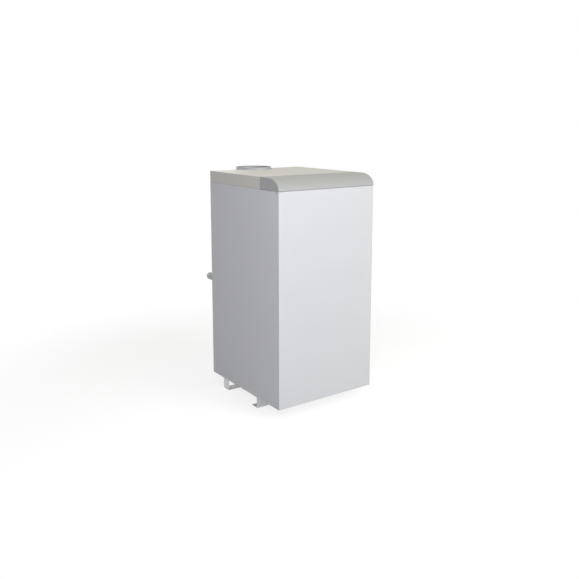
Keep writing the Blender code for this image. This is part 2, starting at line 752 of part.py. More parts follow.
def build_front_door(paint, wool):
    """A pan open to the back, with a lip for the magnets at its right and a pad of insulation inside."""
    back = FRONT + DOOR_RETURN
    axis = (DOOR_AXIS_X, DOOR_AXIS_Y, BOTTOM)
    bm = bmesh.new()
    add_open_box(bm, (LEFT, FRONT, BOTTOM), (RIGHT, back, PANEL_TOP), SHEET, 1, True)
    front_edges = [e for e in bm.edges if all(abs(v.co.y - FRONT) < SEAT for v in e.verts)]
    round_edges(bm, front_edges, DOOR_EDGE_RADIUS, DOOR_EDGE_STEPS)
    door = piece("front_door", bm, paint, axis)
    bm = bmesh.new()
    low = (RIGHT - DOOR_LIP, back - SHEET - SEAT, BOTTOM + SHEET / 2)
    add_box(bm, low, (RIGHT - SHEET / 2, back - SEAT, PANEL_TOP - SHEET / 2))
    join(door, bm)
    bm = bmesh.new()
    for low_z, high_z in (hinge_tab_span(True), hinge_tab_span(False)):
        low = (LEFT - CUT_OVERRUN, DOOR_AXIS_Y - HINGE_SLOT_REACH, low_z - HINGE_SLOT_CLEARANCE)
        high = (LEFT + SHEET + SEAT, back + CUT_OVERRUN, high_z + HINGE_SLOT_CLEARANCE)
        add_box(bm, low, high)
    for wall_z in (BOTTOM, PANEL_TOP - SHEET):
        start = (DOOR_AXIS_X, DOOR_AXIS_Y, wall_z - CUT_OVERRUN)
        length = SHEET + 2 * CUT_OVERRUN
        add_cylinder(bm, start, (0, 0, 1), DOOR_PIN_RADIUS + SEAT, length, SMALL_STEPS)
    cut(door, bm)

    bm = bmesh.new()
    low = (LEFT + DOOR_PAD_MARGIN, FRONT + SHEET + SEAT, BOTTOM + DOOR_PAD_MARGIN)
    high = (RIGHT - DOOR_LIP - DOOR_GAP, low[1] + DOOR_PAD_THICKNESS, PANEL_TOP - DOOR_PAD_MARGIN)
    add_box(bm, low, high)
    piece("door_insulation", bm, wool, low, parent=door)


def hinge_tab_span(lower):
    """Lowest and highest point of a door hinge's tab, just inside the door's bottom or top return."""
    if lower:
        low = BOTTOM + SHEET + HINGE_TAB_INSET
    else:
        low = PANEL_TOP - SHEET - HINGE_TAB_INSET - HINGE_TAB_THICKNESS
    return low, low + HINGE_TAB_THICKNESS


def build_door_hinges(steel):
    """A leaf on the casing's front return, a tab over the axis and the pin that the door turns on."""
    leaf_left = DOOR_AXIS_X + HINGE_LEAF_OFFSET
    leaf_right = LEFT + FRONT_RETURN
    leaf_back = PANEL_FRONT - SEAT
    for lower, name in ((True, "lower_door_hinge"), (False, "upper_door_hinge")):
        low, high = hinge_tab_span(lower)
        bm = bmesh.new()
        corner = (DOOR_AXIS_X - HINGE_TAB_MARGIN, DOOR_AXIS_Y - HINGE_TAB_MARGIN, low)
        add_box(bm, corner, (leaf_right, leaf_back, high))
        hinge = piece(name, bm, steel)
        bm = bmesh.new()
        leaf_low = low if lower else high - HINGE_LEAF_HEIGHT
        leaf_high = leaf_low + HINGE_LEAF_HEIGHT
        add_box(bm, (leaf_left, leaf_back - HINGE_LEAF_THICKNESS, leaf_low), (leaf_right, leaf_back, leaf_high))
        join(hinge, bm)
        bm = bmesh.new()
        pin_low, pin_high = (BOTTOM + SEAT, high) if lower else (low, PANEL_TOP - SEAT)
        start = (DOOR_AXIS_X, DOOR_AXIS_Y, pin_low)
        add_cylinder(bm, start, (0, 0, 1), DOOR_PIN_RADIUS, pin_high - pin_low, SMALL_STEPS)
        join(hinge, bm)


def build_door_magnet(rubber):
    """One strip at half height, on the casing's front return, that the door's lip lies against."""
    right = RIGHT - MAGNET_INSET
    low = (right - MAGNET_WIDTH, FRONT + DOOR_RETURN, (BOTTOM + PANEL_TOP - MAGNET_HEIGHT) / 2)
    bm = bmesh.new()
    add_box(bm, low, (right, PANEL_FRONT - SEAT, low[2] + MAGNET_HEIGHT))
    piece("door_magnet", bm, rubber)


def cover_outer_outline():
    """Side view of the console cover: the curved front, the flat top and the rounded rear edge."""
    centre = (FRONT + COVER_CURVE_DEPTH, COVER_BOTTOM)
    height = TOP - COVER_BOTTOM
    points = arc(centre, COVER_CURVE_DEPTH, height, math.pi, math.pi / 2, COVER_CURVE_STEPS)
    barrel = (COVER_AXIS_Y, COVER_AXIS_Z)
    points += arc(barrel, COVER_BARREL_RADIUS, COVER_BARREL_RADIUS, math.pi / 2, 0, COVER_BARREL_STEPS)
    points.append((COVER_AXIS_Y + COVER_BARREL_RADIUS, COVER_BOTTOM))
    return points


def cover_inner_outline():
    """Side view of the space under the cover, which leaves the barrel at the rear edge whole."""
    centre = (FRONT + COVER_CURVE_DEPTH, COVER_BOTTOM)
    depth = COVER_CURVE_DEPTH - COVER_WALL
    height = TOP - COVER_BOTTOM - COVER_WALL
    points = [(centre[0] - depth, COVER_BOTTOM - CUT_OVERRUN)]
    points += arc(centre, depth, height, math.pi, math.pi / 2, COVER_CURVE_STEPS)
    start = math.pi - math.asin((COVER_BARREL_RADIUS - COVER_WALL) / COVER_BARREL_RADIUS)
    barrel = (COVER_AXIS_Y, COVER_AXIS_Z)
    points += arc(barrel, COVER_BARREL_RADIUS, COVER_BARREL_RADIUS, start, 2 * math.pi, SMALL_STEPS)
    points.append((COVER_AXIS_Y + COVER_BARREL_RADIUS + CUT_OVERRUN, COVER_AXIS_Z))
    points.append((COVER_AXIS_Y + COVER_BARREL_RADIUS + CUT_OVERRUN, COVER_BOTTOM - CUT_OVERRUN))
    return points


def cover_hinge_places():
    """Middles of the two hinge eyes along the pin."""
    return {"left": LEFT + COVER_HINGE_FROM_SIDE, "right": RIGHT - COVER_HINGE_FROM_SIDE}


def build_console_cover(plastic):
    axis = (0, COVER_AXIS_Y, COVER_AXIS_Z)
    bm = bmesh.new()
    add_prism(bm, cover_outer_outline(), 0, LEFT, RIGHT)
    cover = piece("console_cover", bm, plastic, axis)
    bm = bmesh.new()
    add_prism(bm, cover_inner_outline(), 0, LEFT + COVER_WALL, RIGHT - COVER_WALL)
    cut(cover, bm)
    bm = bmesh.new()
    start = (LEFT - CUT_OVERRUN, COVER_AXIS_Y, COVER_AXIS_Z)
    length = CASING_WIDTH + 2 * CUT_OVERRUN
    add_cylinder(bm, start, (1, 0, 0), COVER_PIN_RADIUS + SEAT, length, TINY_STEPS)
    cut(cover, bm)
    bm = bmesh.new()
    half = COVER_HINGE_WIDTH / 2 + SEAT
    reach = COVER_BARREL_RADIUS + SEAT
    for x in cover_hinge_places().values():
        low = (x - half, COVER_AXIS_Y - reach, COVER_AXIS_Z - reach)
        add_box(bm, low, (x + half, COVER_AXIS_Y + reach, TOP + CUT_OVERRUN))
    cut(cover, bm)


def build_cover_hinges(steel):
    axis = (0, COVER_AXIS_Y, COVER_AXIS_Z)
    leaf_back = CAP_FRONT - SEAT
    for label, x in cover_hinge_places().items():
        half = COVER_HINGE_WIDTH / 2
        bm = bmesh.new()
        start = (x - half, COVER_AXIS_Y, COVER_AXIS_Z)
        add_cylinder(bm, start, (1, 0, 0), COVER_HINGE_EYE_RADIUS, COVER_HINGE_WIDTH, SMALL_STEPS)
        hinge = piece(f"{label}_cover_hinge", bm, steel, (x, COVER_AXIS_Y, COVER_AXIS_Z))
        bm = bmesh.new()
        low = (x - half, leaf_back - COVER_HINGE_LEAF_THICKNESS, COVER_AXIS_Z - COVER_HINGE_LEAF)
        add_box(bm, low, (x + half, leaf_back, COVER_AXIS_Z))
        join(hinge, bm)
        bm = bmesh.new()
        start = (x - COVER_HINGE_WIDTH, COVER_AXIS_Y, COVER_AXIS_Z)
        bore = COVER_PIN_RADIUS + SEAT
        add_cylinder(bm, start, (1, 0, 0), bore, 2 * COVER_HINGE_WIDTH, TINY_STEPS)
        cut(hinge, bm)
    bm = bmesh.new()
    start = (LEFT + SHEET, COVER_AXIS_Y, COVER_AXIS_Z)
    add_cylinder(bm, start, (1, 0, 0), COVER_PIN_RADIUS, CASING_WIDTH - 2 * SHEET, TINY_STEPS)
    piece("cover_hinge_pin", bm, steel, axis)


def build_control_panel(steel):
    half = CASING_WIDTH / 2 - COVER_WALL - PANEL_SIDE_CLEARANCE
    front = FRONT + COVER_WALL + PANEL_FRONT_CLEARANCE
    bm = bmesh.new()
    add_box(bm, (-half, front, PANEL_BOTTOM), (half, CAP_FRONT - SEAT, PANEL_FACE))
    panel = piece("control_panel", bm, steel)
    bm = bmesh.new()
    holes = (
        (KNOB_X, THERMOSTAT_NECK_RADIUS),
        (RESET_X, RESET_COLLAR_RADIUS),
        (SAFETY_X, SAFETY_NECK_RADIUS),
        (THERMOMETER_X, GAUGE_BODY_RADIUS),
        (PRESSURE_GAUGE_X, GAUGE_BODY_RADIUS),
    )
    for x, radius in holes:
        start = (x, CONTROL_ROW_Y, PANEL_BOTTOM - CUT_OVERRUN)
        length = PANEL_SHEET + 2 * CUT_OVERRUN
        add_cylinder(bm, start, (0, 0, 1), radius + SEAT, length, ROUND_STEPS)
    for x in (MAIN_SWITCH_X, SEASON_SWITCH_X):
        half_x = SWITCH_WIDTH / 2 - SWITCH_BODY_MARGIN + SEAT
        half_y = SWITCH_LENGTH / 2 - SWITCH_BODY_MARGIN + SEAT
        low = (x - half_x, CONTROL_ROW_Y - half_y, PANEL_BOTTOM - CUT_OVERRUN)
        add_box(bm, low, (x + half_x, CONTROL_ROW_Y + half_y, PANEL_FACE + CUT_OVERRUN))
    cut(panel, bm)

    bm = bmesh.new()
    back = CAP_FRONT - SEAT - BOX_BACK_MARGIN
    low = (LEFT + BOX_SIDE_MARGIN, back - BOX_DEPTH, PANEL_BOTTOM - SEAT - BOX_HEIGHT)
    add_open_box(bm, low, (RIGHT - BOX_SIDE_MARGIN, back, PANEL_BOTTOM - SEAT), BOX_WALL, 2, True)
    piece("electrical_box", bm, steel)


def build_thermostat(plastic, metal):
    centre = (KNOB_X, CONTROL_ROW_Y, PANEL_BOTTOM - SEAT)
    top = PANEL_SHEET + SEAT + SPINDLE_LENGTH
    profile = [
        (0, -THERMOSTAT_HEIGHT),
        (THERMOSTAT_RADIUS, -THERMOSTAT_HEIGHT),
        (THERMOSTAT_RADIUS, 0),
        (THERMOSTAT_NECK_RADIUS, 0),
        (THERMOSTAT_NECK_RADIUS, PANEL_SHEET + SEAT),
        (SPINDLE_RADIUS, PANEL_SHEET + SEAT),
        (SPINDLE_RADIUS, top),
        (0, top),
    ]
    bm = bmesh.new()
    add_turned(bm, profile, centre, (0, 0, 1), ROUND_STEPS)
    piece("thermostat_body", bm, metal)

    base = PANEL_FACE + SEAT
    bore_top = SPINDLE_LENGTH + SEAT
    profile = [
        (0, bore_top),
        (SPINDLE_RADIUS + SEAT, bore_top),
        (SPINDLE_RADIUS + SEAT, 0),
        (KNOB_RADIUS, 0),
        (KNOB_RADIUS, KNOB_SKIRT - KNOB_ROUNDING / 2),
        (KNOB_RADIUS - KNOB_ROUNDING, KNOB_SKIRT),
        (KNOB_GRIP_RADIUS, KNOB_SKIRT),
        (KNOB_GRIP_RADIUS - KNOB_ROUNDING / 2, KNOB_HEIGHT - KNOB_ROUNDING),
        (KNOB_GRIP_RADIUS - 2 * KNOB_ROUNDING, KNOB_HEIGHT),
        (0, KNOB_HEIGHT),
    ]
    bm = bmesh.new()
    centre = (KNOB_X, CONTROL_ROW_Y, base)
    add_turned(bm, profile, centre, (0, 0, 1), ROUND_STEPS)
    knob = piece("thermostat_knob", bm, plastic, centre)
    bm = bmesh.new()
    reach = KNOB_GRIP_RADIUS + KNOB_GROOVE_RADIUS - KNOB_GROOVE_DEPTH
    for i in range(KNOB_GROOVE_COUNT):
        angle = 2 * math.pi * (i + 1 / 2) / KNOB_GROOVE_COUNT
        start = Vector(centre)
        start += Vector((reach * math.cos(angle), reach * math.sin(angle), KNOB_SKIRT + SEAT))
        add_cylinder(bm, start, (0, 0, 1), KNOB_GROOVE_RADIUS, KNOB_HEIGHT, HEX_STEPS)
    cut(knob, bm)


def rocker_outline():
    """Side view of a rocker about its pivot: a round belly, and a top with two flats that meet in a dip."""
    crest = SWITCH_BEZEL + ROCKER_PIVOT_DEPTH + ROCKER_RISE / 2
    reach = math.sqrt((SWITCH_LENGTH / 2 - SWITCH_WALL - ROCKER_CLEARANCE) ** 2 - crest**2)
    belly = arc((0, 0), reach, ROCKER_BELLY, math.pi, 2 * math.pi, ROCKER_STEPS)
    dip = crest - ROCKER_RISE * ROCKER_HOLLOW_SHARE
    return belly + [(reach, crest), (0, dip), (-reach, crest)]


def build_switch(name, x, plastic, rocker_plastic):
    bm = bmesh.new()
    body_x = SWITCH_WIDTH / 2 - SWITCH_BODY_MARGIN
    body_y = SWITCH_LENGTH / 2 - SWITCH_BODY_MARGIN
    low = (x - body_x, CONTROL_ROW_Y - body_y, PANEL_BOTTOM - SWITCH_BODY_HEIGHT)
    add_box(bm, low, (x + body_x, CONTROL_ROW_Y + body_y, PANEL_FACE + SWITCH_BEZEL / 2))
    switch = piece(name, bm, plastic)
    bm = bmesh.new()
    low = (x - SWITCH_WIDTH / 2, CONTROL_ROW_Y - SWITCH_LENGTH / 2, PANEL_FACE + SEAT)
    high = (x + SWITCH_WIDTH / 2, CONTROL_ROW_Y + SWITCH_LENGTH / 2, PANEL_FACE + SEAT + SWITCH_BEZEL)
    add_box(bm, low, high)
    join(switch, bm)
    bm = bmesh.new()
    pocket_x = SWITCH_WIDTH / 2 - SWITCH_WALL
    pocket_y = SWITCH_LENGTH / 2 - SWITCH_WALL
    pivot_z = PANEL_FACE - ROCKER_PIVOT_DEPTH
    low = (x - pocket_x, CONTROL_ROW_Y - pocket_y, pivot_z - ROCKER_BELLY - ROCKER_FLOOR_GAP)
    high = (x + pocket_x, CONTROL_ROW_Y + pocket_y, PANEL_FACE + SWITCH_BEZEL + CUT_OVERRUN)
    add_box(bm, low, high)
    cut(switch, bm)

    bm = bmesh.new()
    outline = [(CONTROL_ROW_Y + y, pivot_z + z) for y, z in rocker_outline()]
    half = pocket_x - SEAT
    add_prism(bm, outline, 0, x - half, x + half)
    rocker = piece(f"{name}_rocker", bm, rocker_plastic, (x, CONTROL_ROW_Y, pivot_z))
    rocker.rotation_euler = (-ROCKER_SWING, 0, 0)


def build_reset_button(plastic, case_plastic):
    """The button slides in a collar of the burner control box, which reaches up through the panel."""
    centre = (RESET_X, CONTROL_ROW_Y, PANEL_FACE)
    bm = bmesh.new()
    bore = RESET_COLLAR_RADIUS - RESET_COLLAR_WALL
    radius = bore - SEAT
    profile = [
        (0, -RESET_STEM),
        (radius, -RESET_STEM),
        (radius, RESET_RISE - RESET_ROUNDING),
        (radius - RESET_ROUNDING, RESET_RISE),
        (0, RESET_RISE),
    ]
    add_turned(bm, profile, centre, (0, 0, 1), ROUND_STEPS)
    piece("reset_button", bm, plastic, centre)

    bm = bmesh.new()
    top = PANEL_BOTTOM - CONTROLLER_TOP_GAP
    low = (RESET_X - CONTROLLER_WIDTH / 2, CONTROL_ROW_Y - CONTROLLER_LENGTH / 2, box_floor() + SEAT)
    add_box(bm, low, (RESET_X + CONTROLLER_WIDTH / 2, CONTROL_ROW_Y + CONTROLLER_LENGTH / 2, top))
    round_edges(bm, list(bm.edges), CONTROLLER_ROUNDING, CONTROLLER_ROUNDING_STEPS)
    controller = piece("burner_controller", bm, case_plastic)
    bm = bmesh.new()
    start = (RESET_X, CONTROL_ROW_Y, top - CONTROLLER_ROUNDING)
    length = PANEL_FACE + RESET_COLLAR_HEIGHT - start[2]
    add_cylinder(bm, start, (0, 0, 1), RESET_COLLAR_RADIUS, length, ROUND_STEPS)
    join(controller, bm)
    bm = bmesh.new()
    start = (RESET_X, CONTROL_ROW_Y, PANEL_FACE - RESET_STEM - RESET_TRAVEL - SEAT)
    length = PANEL_FACE + RESET_COLLAR_HEIGHT + CUT_OVERRUN - start[2]
    add_cylinder(bm, start, (0, 0, 1), bore, length, ROUND_STEPS)
    cut(controller, bm)


def box_floor():
    """Upper side of the electrical box's bottom."""
    return PANEL_BOTTOM - SEAT - BOX_HEIGHT + BOX_WALL


def build_gauge(name, x, case_material, pointer_material):
    bezel_top = GAUGE_BEZEL_HEIGHT
    dial = bezel_top - GAUGE_DIAL_DEPTH
    bore = GAUGE_BEZEL_RADIUS - GAUGE_BEZEL_WALL
    profile = [
        (0, -PANEL_SHEET - SEAT - GAUGE_BODY_HEIGHT),
        (GAUGE_BODY_RADIUS, -PANEL_SHEET - SEAT - GAUGE_BODY_HEIGHT),
        (GAUGE_BODY_RADIUS, SEAT),
        (GAUGE_BEZEL_RADIUS, SEAT),
        (GAUGE_BEZEL_RADIUS, bezel_top - GAUGE_BEZEL_WALL / 2),
        (GAUGE_BEZEL_RADIUS - GAUGE_BEZEL_WALL / 2, bezel_top),
        (bore, bezel_top),
        (bore, dial),
        (GAUGE_PIN_RADIUS, dial),
        (GAUGE_PIN_RADIUS, dial + GAUGE_PIN_HEIGHT),
        (0, dial + GAUGE_PIN_HEIGHT),
    ]
    centre = (x, CONTROL_ROW_Y, PANEL_FACE)
    bm = bmesh.new()
    add_turned(bm, profile, centre, (0, 0, 1), ROUND_STEPS)
    piece(f"{name}_case", bm, case_material)

    base = PANEL_FACE + dial + SEAT
    bm = bmesh.new()
    outline = [
        (x - POINTER_TAIL_WIDTH / 2, CONTROL_ROW_Y - POINTER_TAIL),
        (x + POINTER_TAIL_WIDTH / 2, CONTROL_ROW_Y - POINTER_TAIL),
        (x + POINTER_TIP_WIDTH / 2, CONTROL_ROW_Y + POINTER_LENGTH),
        (x - POINTER_TIP_WIDTH / 2, CONTROL_ROW_Y + POINTER_LENGTH),
    ]
    add_prism(bm, outline, 2, base, base + POINTER_THICKNESS)
    centre = (x, CONTROL_ROW_Y, base)
    pointer = piece(f"{name}_pointer", bm, pointer_material, centre)
    bm = bmesh.new()
    add_cylinder(bm, centre, (0, 0, 1), POINTER_HUB_RADIUS, POINTER_HUB_HEIGHT, SMALL_STEPS)
    join(pointer, bm)
    bm = bmesh.new()
    start = (x, CONTROL_ROW_Y, base - CUT_OVERRUN)
    length = POINTER_HUB_HEIGHT + 2 * CUT_OVERRUN
    add_cylinder(bm, start, (0, 0, 1), GAUGE_PIN_RADIUS + SEAT, length, SMALL_STEPS)
    cut(pointer, bm)
    pointer.rotation_euler = (0, 0, POINTER_REST)


def build_safety_thermostat(metal, plastic):
    centre = (SAFETY_X, CONTROL_ROW_Y, PANEL_BOTTOM - SEAT)
    top = PANEL_SHEET + SEAT + SAFETY_NECK_RISE
    profile = [
        (0, -SAFETY_BODY_HEIGHT),
        (SAFETY_BODY_RADIUS, -SAFETY_BODY_HEIGHT),
        (SAFETY_BODY_RADIUS, 0),
        (SAFETY_NECK_RADIUS, 0),
        (SAFETY_NECK_RADIUS, top),
        (0, top),
    ]
    bm = bmesh.new()
    add_turned(bm, profile, centre, (0, 0, 1), ROUND_STEPS)
    piece("safety_thermostat", bm, metal)
    bore = SAFETY_NECK_RADIUS + SEAT
    depth = SAFETY_NECK_RISE
    profile = [
        (0, depth),
        (bore, depth),
        (bore, 0),
        (SAFETY_CAP_RADIUS, 0),
        (SAFETY_CAP_RADIUS, SAFETY_CAP_HEIGHT - SAFETY_CAP_ROUNDING),
        (SAFETY_CAP_RADIUS - SAFETY_CAP_ROUNDING, SAFETY_CAP_HEIGHT),
        (0, SAFETY_CAP_HEIGHT),
    ]
    bm = bmesh.new()
    centre = (SAFETY_X, CONTROL_ROW_Y, PANEL_FACE + SEAT)
    add_turned(bm, profile, centre, (0, 0, 1), SMALL_STEPS)
    piece("safety_thermostat_cap", bm, plastic, centre)


def build_cable_gland(plastic):
    """Screwed through the back panel. It is empty, as the cord isn't part of this model."""
    hex_start = SHEET + SEAT
    dome_start = hex_start + GLAND_HEX_LENGTH
    dome_end = dome_start + GLAND_DOME_LENGTH
    profile = [
        (GLAND_BORE_RADIUS, -GLAND_TAIL),
        (GLAND_THREAD_RADIUS, -GLAND_TAIL),
        (GLAND_THREAD_RADIUS, hex_start),
        (GLAND_HEX_RADIUS, hex_start),
        (GLAND_HEX_RADIUS, dome_start),
        (GLAND_DOME_RADIUS, dome_start),
        (GLAND_DOME_RADIUS, dome_end - GLAND_DOME_TAPER),
        (GLAND_TIP_RADIUS, dome_end),
        (GLAND_BORE_RADIUS, dome_end),
    ]
    bm = bmesh.new()
    add_turned(bm, profile, (GLAND_X, BACK_INNER, GLAND_HEIGHT), (0, 1, 0), SMALL_STEPS, closed=True)
    piece("cable_gland", bm, plastic)


def section_outline():
    """Front view of a cast section, with sloped shoulders."""
    half = BLOCK_WIDTH / 2
    right = [(half, BLOCK_BOTTOM), (half, BLOCK_TOP - SECTION_SHOULDER), (half - SECTION_SHOULDER, BLOCK_TOP)]
    left = [(-x, z) for x, z in reversed(right)]
    return right + left


def chamber_outline():
    """Front view of the combustion chamber, which is open below."""
    low = BLOCK_BOTTOM - CUT_OVERRUN
    right = [
        (CHAMBER_HALF, low),
        (CHAMBER_HALF, CHAMBER_TOP - CHAMBER_CORNER),
        (CHAMBER_HALF - CHAMBER_CORNER, CHAMBER_TOP),
    ]
    left = [(-x, z) for x, z in reversed(right)]
    return right + left


def water_outline():
    """Front view of the water space inside a section, a wall's thickness from its outer shape."""
    half = BLOCK_WIDTH / 2 - WATER_WALL
    right = [
        (CHAMBER_HALF + WATER_WALL, BLOCK_BOTTOM + WATER_WALL),
        (half, BLOCK_BOTTOM + WATER_WALL),
        (half, BLOCK_TOP - SECTION_SHOULDER - WATER_WALL / 2),
        (half - SECTION_SHOULDER + WATER_WALL / 2, BLOCK_TOP - WATER_WALL),
    ]
    left = [(-x, z) for x, z in reversed(right)]
    roof = CHAMBER_TOP + WATER_WALL
    return right + left + [(-CHAMBER_HALF - WATER_WALL, roof), (CHAMBER_HALF + WATER_WALL, roof)]


def build_sections(iron):
    """Three sections in a row. The faces that meet are hollowed for the flue gas, open above and below.

    Each holds a water space, which the ports join from one section to the next.
    """
    names = ("front_section", "middle_section", "rear_section")
    front = BLOCK_FRONT
    for name in names:
        first = name == names[0]
        last = name == names[-1]
        back = front + (END_SECTION_DEPTH if first or last else MIDDLE_SECTION_DEPTH)
        bm = bmesh.new()
        add_prism(bm, section_outline(), 1, front, back)
        section = piece(name, bm, iron)
        bm = bmesh.new()
        chamber_back = back - CHAMBER_BACK_WALL if last else back + CUT_OVERRUN
        add_prism(bm, chamber_outline(), 1, front - CUT_OVERRUN, chamber_back)
        cut(section, bm)
        if not first:
            cut_flue_way(section, front - CUT_OVERRUN, front + FLUE_WAY_DEPTH)
        if not last:
            cut_flue_way(section, back - FLUE_WAY_DEPTH, back + CUT_OVERRUN)
        bm = bmesh.new()
        water_front = front + WATER_WALL + (0 if first else FLUE_WAY_DEPTH)
        water_back = back - WATER_WALL - (0 if last else FLUE_WAY_DEPTH)
        add_prism(bm, water_outline(), 1, water_front, water_back)
        cut(section, bm)
        bm = bmesh.new()
        for z in (RETURN_HEIGHT, FLOW_HEIGHT):
            blind = first and z == FLOW_HEIGHT
            start_y = water_front + SEAT if blind else front - CUT_OVERRUN
            length = back + CUT_OVERRUN - start_y
            add_cylinder(bm, (PORT_X, start_y, z), (0, 1, 0), PIPE_BORE_RADIUS, length, SMALL_STEPS)
        cut(section, bm)
        front = back + SEAT


def cut_flue_way(section, start_y, end_y):
    """A wide, flat hollow in one face of a section, from inside the chamber up through its top."""
    half = CHAMBER_HALF - FLUE_WAY_MARGIN
    bm = bmesh.new()
    low = (-half, start_y, CHAMBER_TOP - 2 * CHAMBER_CORNER)
    add_box(bm, low, (half, end_y, BLOCK_TOP + CUT_OVERRUN))
    cut(section, bm)


def build_tie_rods(steel):
    z = BLOCK_TOP + SEAT + TIE_ROD_RADIUS
    start_y = BLOCK_FRONT - TIE_ROD_FRONT_STICKOUT
    length = TIE_ROD_FRONT_STICKOUT + BLOCK_DEPTH + TIE_ROD_BACK_STICKOUT
    for side, label in ((-1, "left"), (1, "right")):
        x = mirrored(BLOCK_WIDTH / 2 - TIE_ROD_FROM_SIDE, side)
        bm = bmesh.new()
        add_cylinder(bm, (x, start_y, z), (0, 1, 0), TIE_ROD_RADIUS, length, TINY_STEPS)
        rod = piece(f"{label}_tie_rod", bm, steel)
        for y in (BLOCK_FRONT - SEAT - TIE_NUT_LENGTH, BLOCK_BACK + SEAT):
            bm = bmesh.new()
            add_cylinder(bm, (x, y, z), (0, 1, 0), TIE_NUT_RADIUS, TIE_NUT_LENGTH, HEX_STEPS)
            join(rod, bm)


def build_blanket(wool):
    """Insulation round the left, the back and the right of the block, with holes for the two pipes."""
    inner = BLOCK_WIDTH / 2 + SEAT
    back = BLOCK_BACK + SEAT
    points = [(inner, BLOCK_FRONT), (inner, back), (-inner, back), (-inner, BLOCK_FRONT)]
    bm = bmesh.new()
    outline = folded(points, -BLANKET_THICKNESS)
    add_prism(bm, outline, 2, BLOCK_BOTTOM, BLOCK_BOTTOM + BLANKET_HEIGHT)
    blanket = piece("block_insulation", bm, wool)
    bm = bmesh.new()
    for z in (RETURN_HEIGHT, FLOW_HEIGHT):
        start = (PORT_X, BLOCK_BACK - CUT_OVERRUN, z)
        length = BLANKET_THICKNESS + 2 * CUT_OVERRUN
        add_cylinder(bm, start, (0, 1, 0), PIPE_RADIUS + PIPE_HOLE_CLEARANCE, length, ROUND_STEPS)
    cut(blanket, bm)


def build_water_pipes(steel):
    length = BACK + PIPE_PROJECTION - BLOCK_BACK - SEAT
    for name, z in (("return_pipe", RETURN_HEIGHT), ("flow_pipe", FLOW_HEIGHT)):
        bm = bmesh.new()
        start = (PORT_X, BLOCK_BACK + SEAT, z)
        add_ring(bm, start, (0, 1, 0), PIPE_RADIUS, PIPE_BORE_RADIUS, length, ROUND_STEPS)
        piece(name, bm, steel)


def build_drain_cock(brass, lever_plastic):
    """Screwed into the lower front port. Its stem points up and the lever turns on it."""
    centre = (PORT_X, BLOCK_FRONT - SEAT, RETURN_HEIGHT)
    end = DRAIN_LENGTH + DRAIN_BARB_LENGTH
    profile = [
        (DRAIN_BORE_RADIUS, 0),
        (DRAIN_FLANGE_RADIUS, 0),
        (DRAIN_FLANGE_RADIUS, DRAIN_FLANGE),
        (DRAIN_BODY_RADIUS, DRAIN_FLANGE),
        (DRAIN_BODY_RADIUS, DRAIN_LENGTH),
        (DRAIN_BARB_RADIUS, DRAIN_LENGTH),
        (DRAIN_BARB_RADIUS, end),
        (DRAIN_BORE_RADIUS, end),
    ]
    bm = bmesh.new()
    add_turned(bm, profile, centre, (0, -1, 0), SMALL_STEPS, closed=True)
    cock = piece("drain_cock", bm, brass)
    stem_y = centre[1] - (DRAIN_FLANGE + DRAIN_LENGTH) / 2
    stem_z = RETURN_HEIGHT + DRAIN_BODY_RADIUS + DRAIN_STEM_RISE
    bm = bmesh.new()
    stem_base = (PORT_X, stem_y, RETURN_HEIGHT + (DRAIN_BORE_RADIUS + DRAIN_BODY_RADIUS) / 2)
    add_cylinder(bm, stem_base, (0, 0, 1), DRAIN_STEM_RADIUS, stem_z - stem_base[2], SMALL_STEPS)
    join(cock, bm)

    pivot = (PORT_X, stem_y, stem_z + SEAT)
    bm = bmesh.new()
    add_cylinder(bm, pivot, (0, 0, 1), LEVER_HUB_RADIUS, LEVER_THICKNESS, SMALL_STEPS)
    lever = piece("drain_cock_lever", bm, lever_plastic, pivot)
    bm = bmesh.new()
    low = (PORT_X - LEVER_LENGTH, stem_y - LEVER_WIDTH / 2, pivot[2] + SEAT)
    add_box(bm, low, (PORT_X, stem_y + LEVER_WIDTH / 2, pivot[2] + LEVER_THICKNESS - SEAT))
    join(lever, bm)


def build_collector(steel):
    """Box on top of the block, open below, with a port to the draught hood in its back."""
    half = COLLECTOR_WIDTH / 2
    front = BLOCK_FRONT + COLLECTOR_FRONT_MARGIN
    base = BLOCK_TOP + SEAT
    bm = bmesh.new()
    low = (-half, front, base)
    add_open_box(bm, low, (half, HOOD_FRONT - SEAT, base + COLLECTOR_HEIGHT), HOOD_SHEET, 2, False)
    collector = piece("flue_collector", bm, steel)
    bm = bmesh.new()
    add_collector_port(bm, HOOD_FRONT - HOOD_SHEET - CUT_OVERRUN, HOOD_FRONT + CUT_OVERRUN / 2)
    cut(collector, bm)


def add_collector_port(bm, start, end):
    low_z = BLOCK_TOP + COLLECTOR_PORT_RISE
    low = (-COLLECTOR_PORT_WIDTH / 2, start, low_z)
    add_box(bm, low, (COLLECTOR_PORT_WIDTH / 2, end, low_z + COLLECTOR_PORT_HEIGHT))


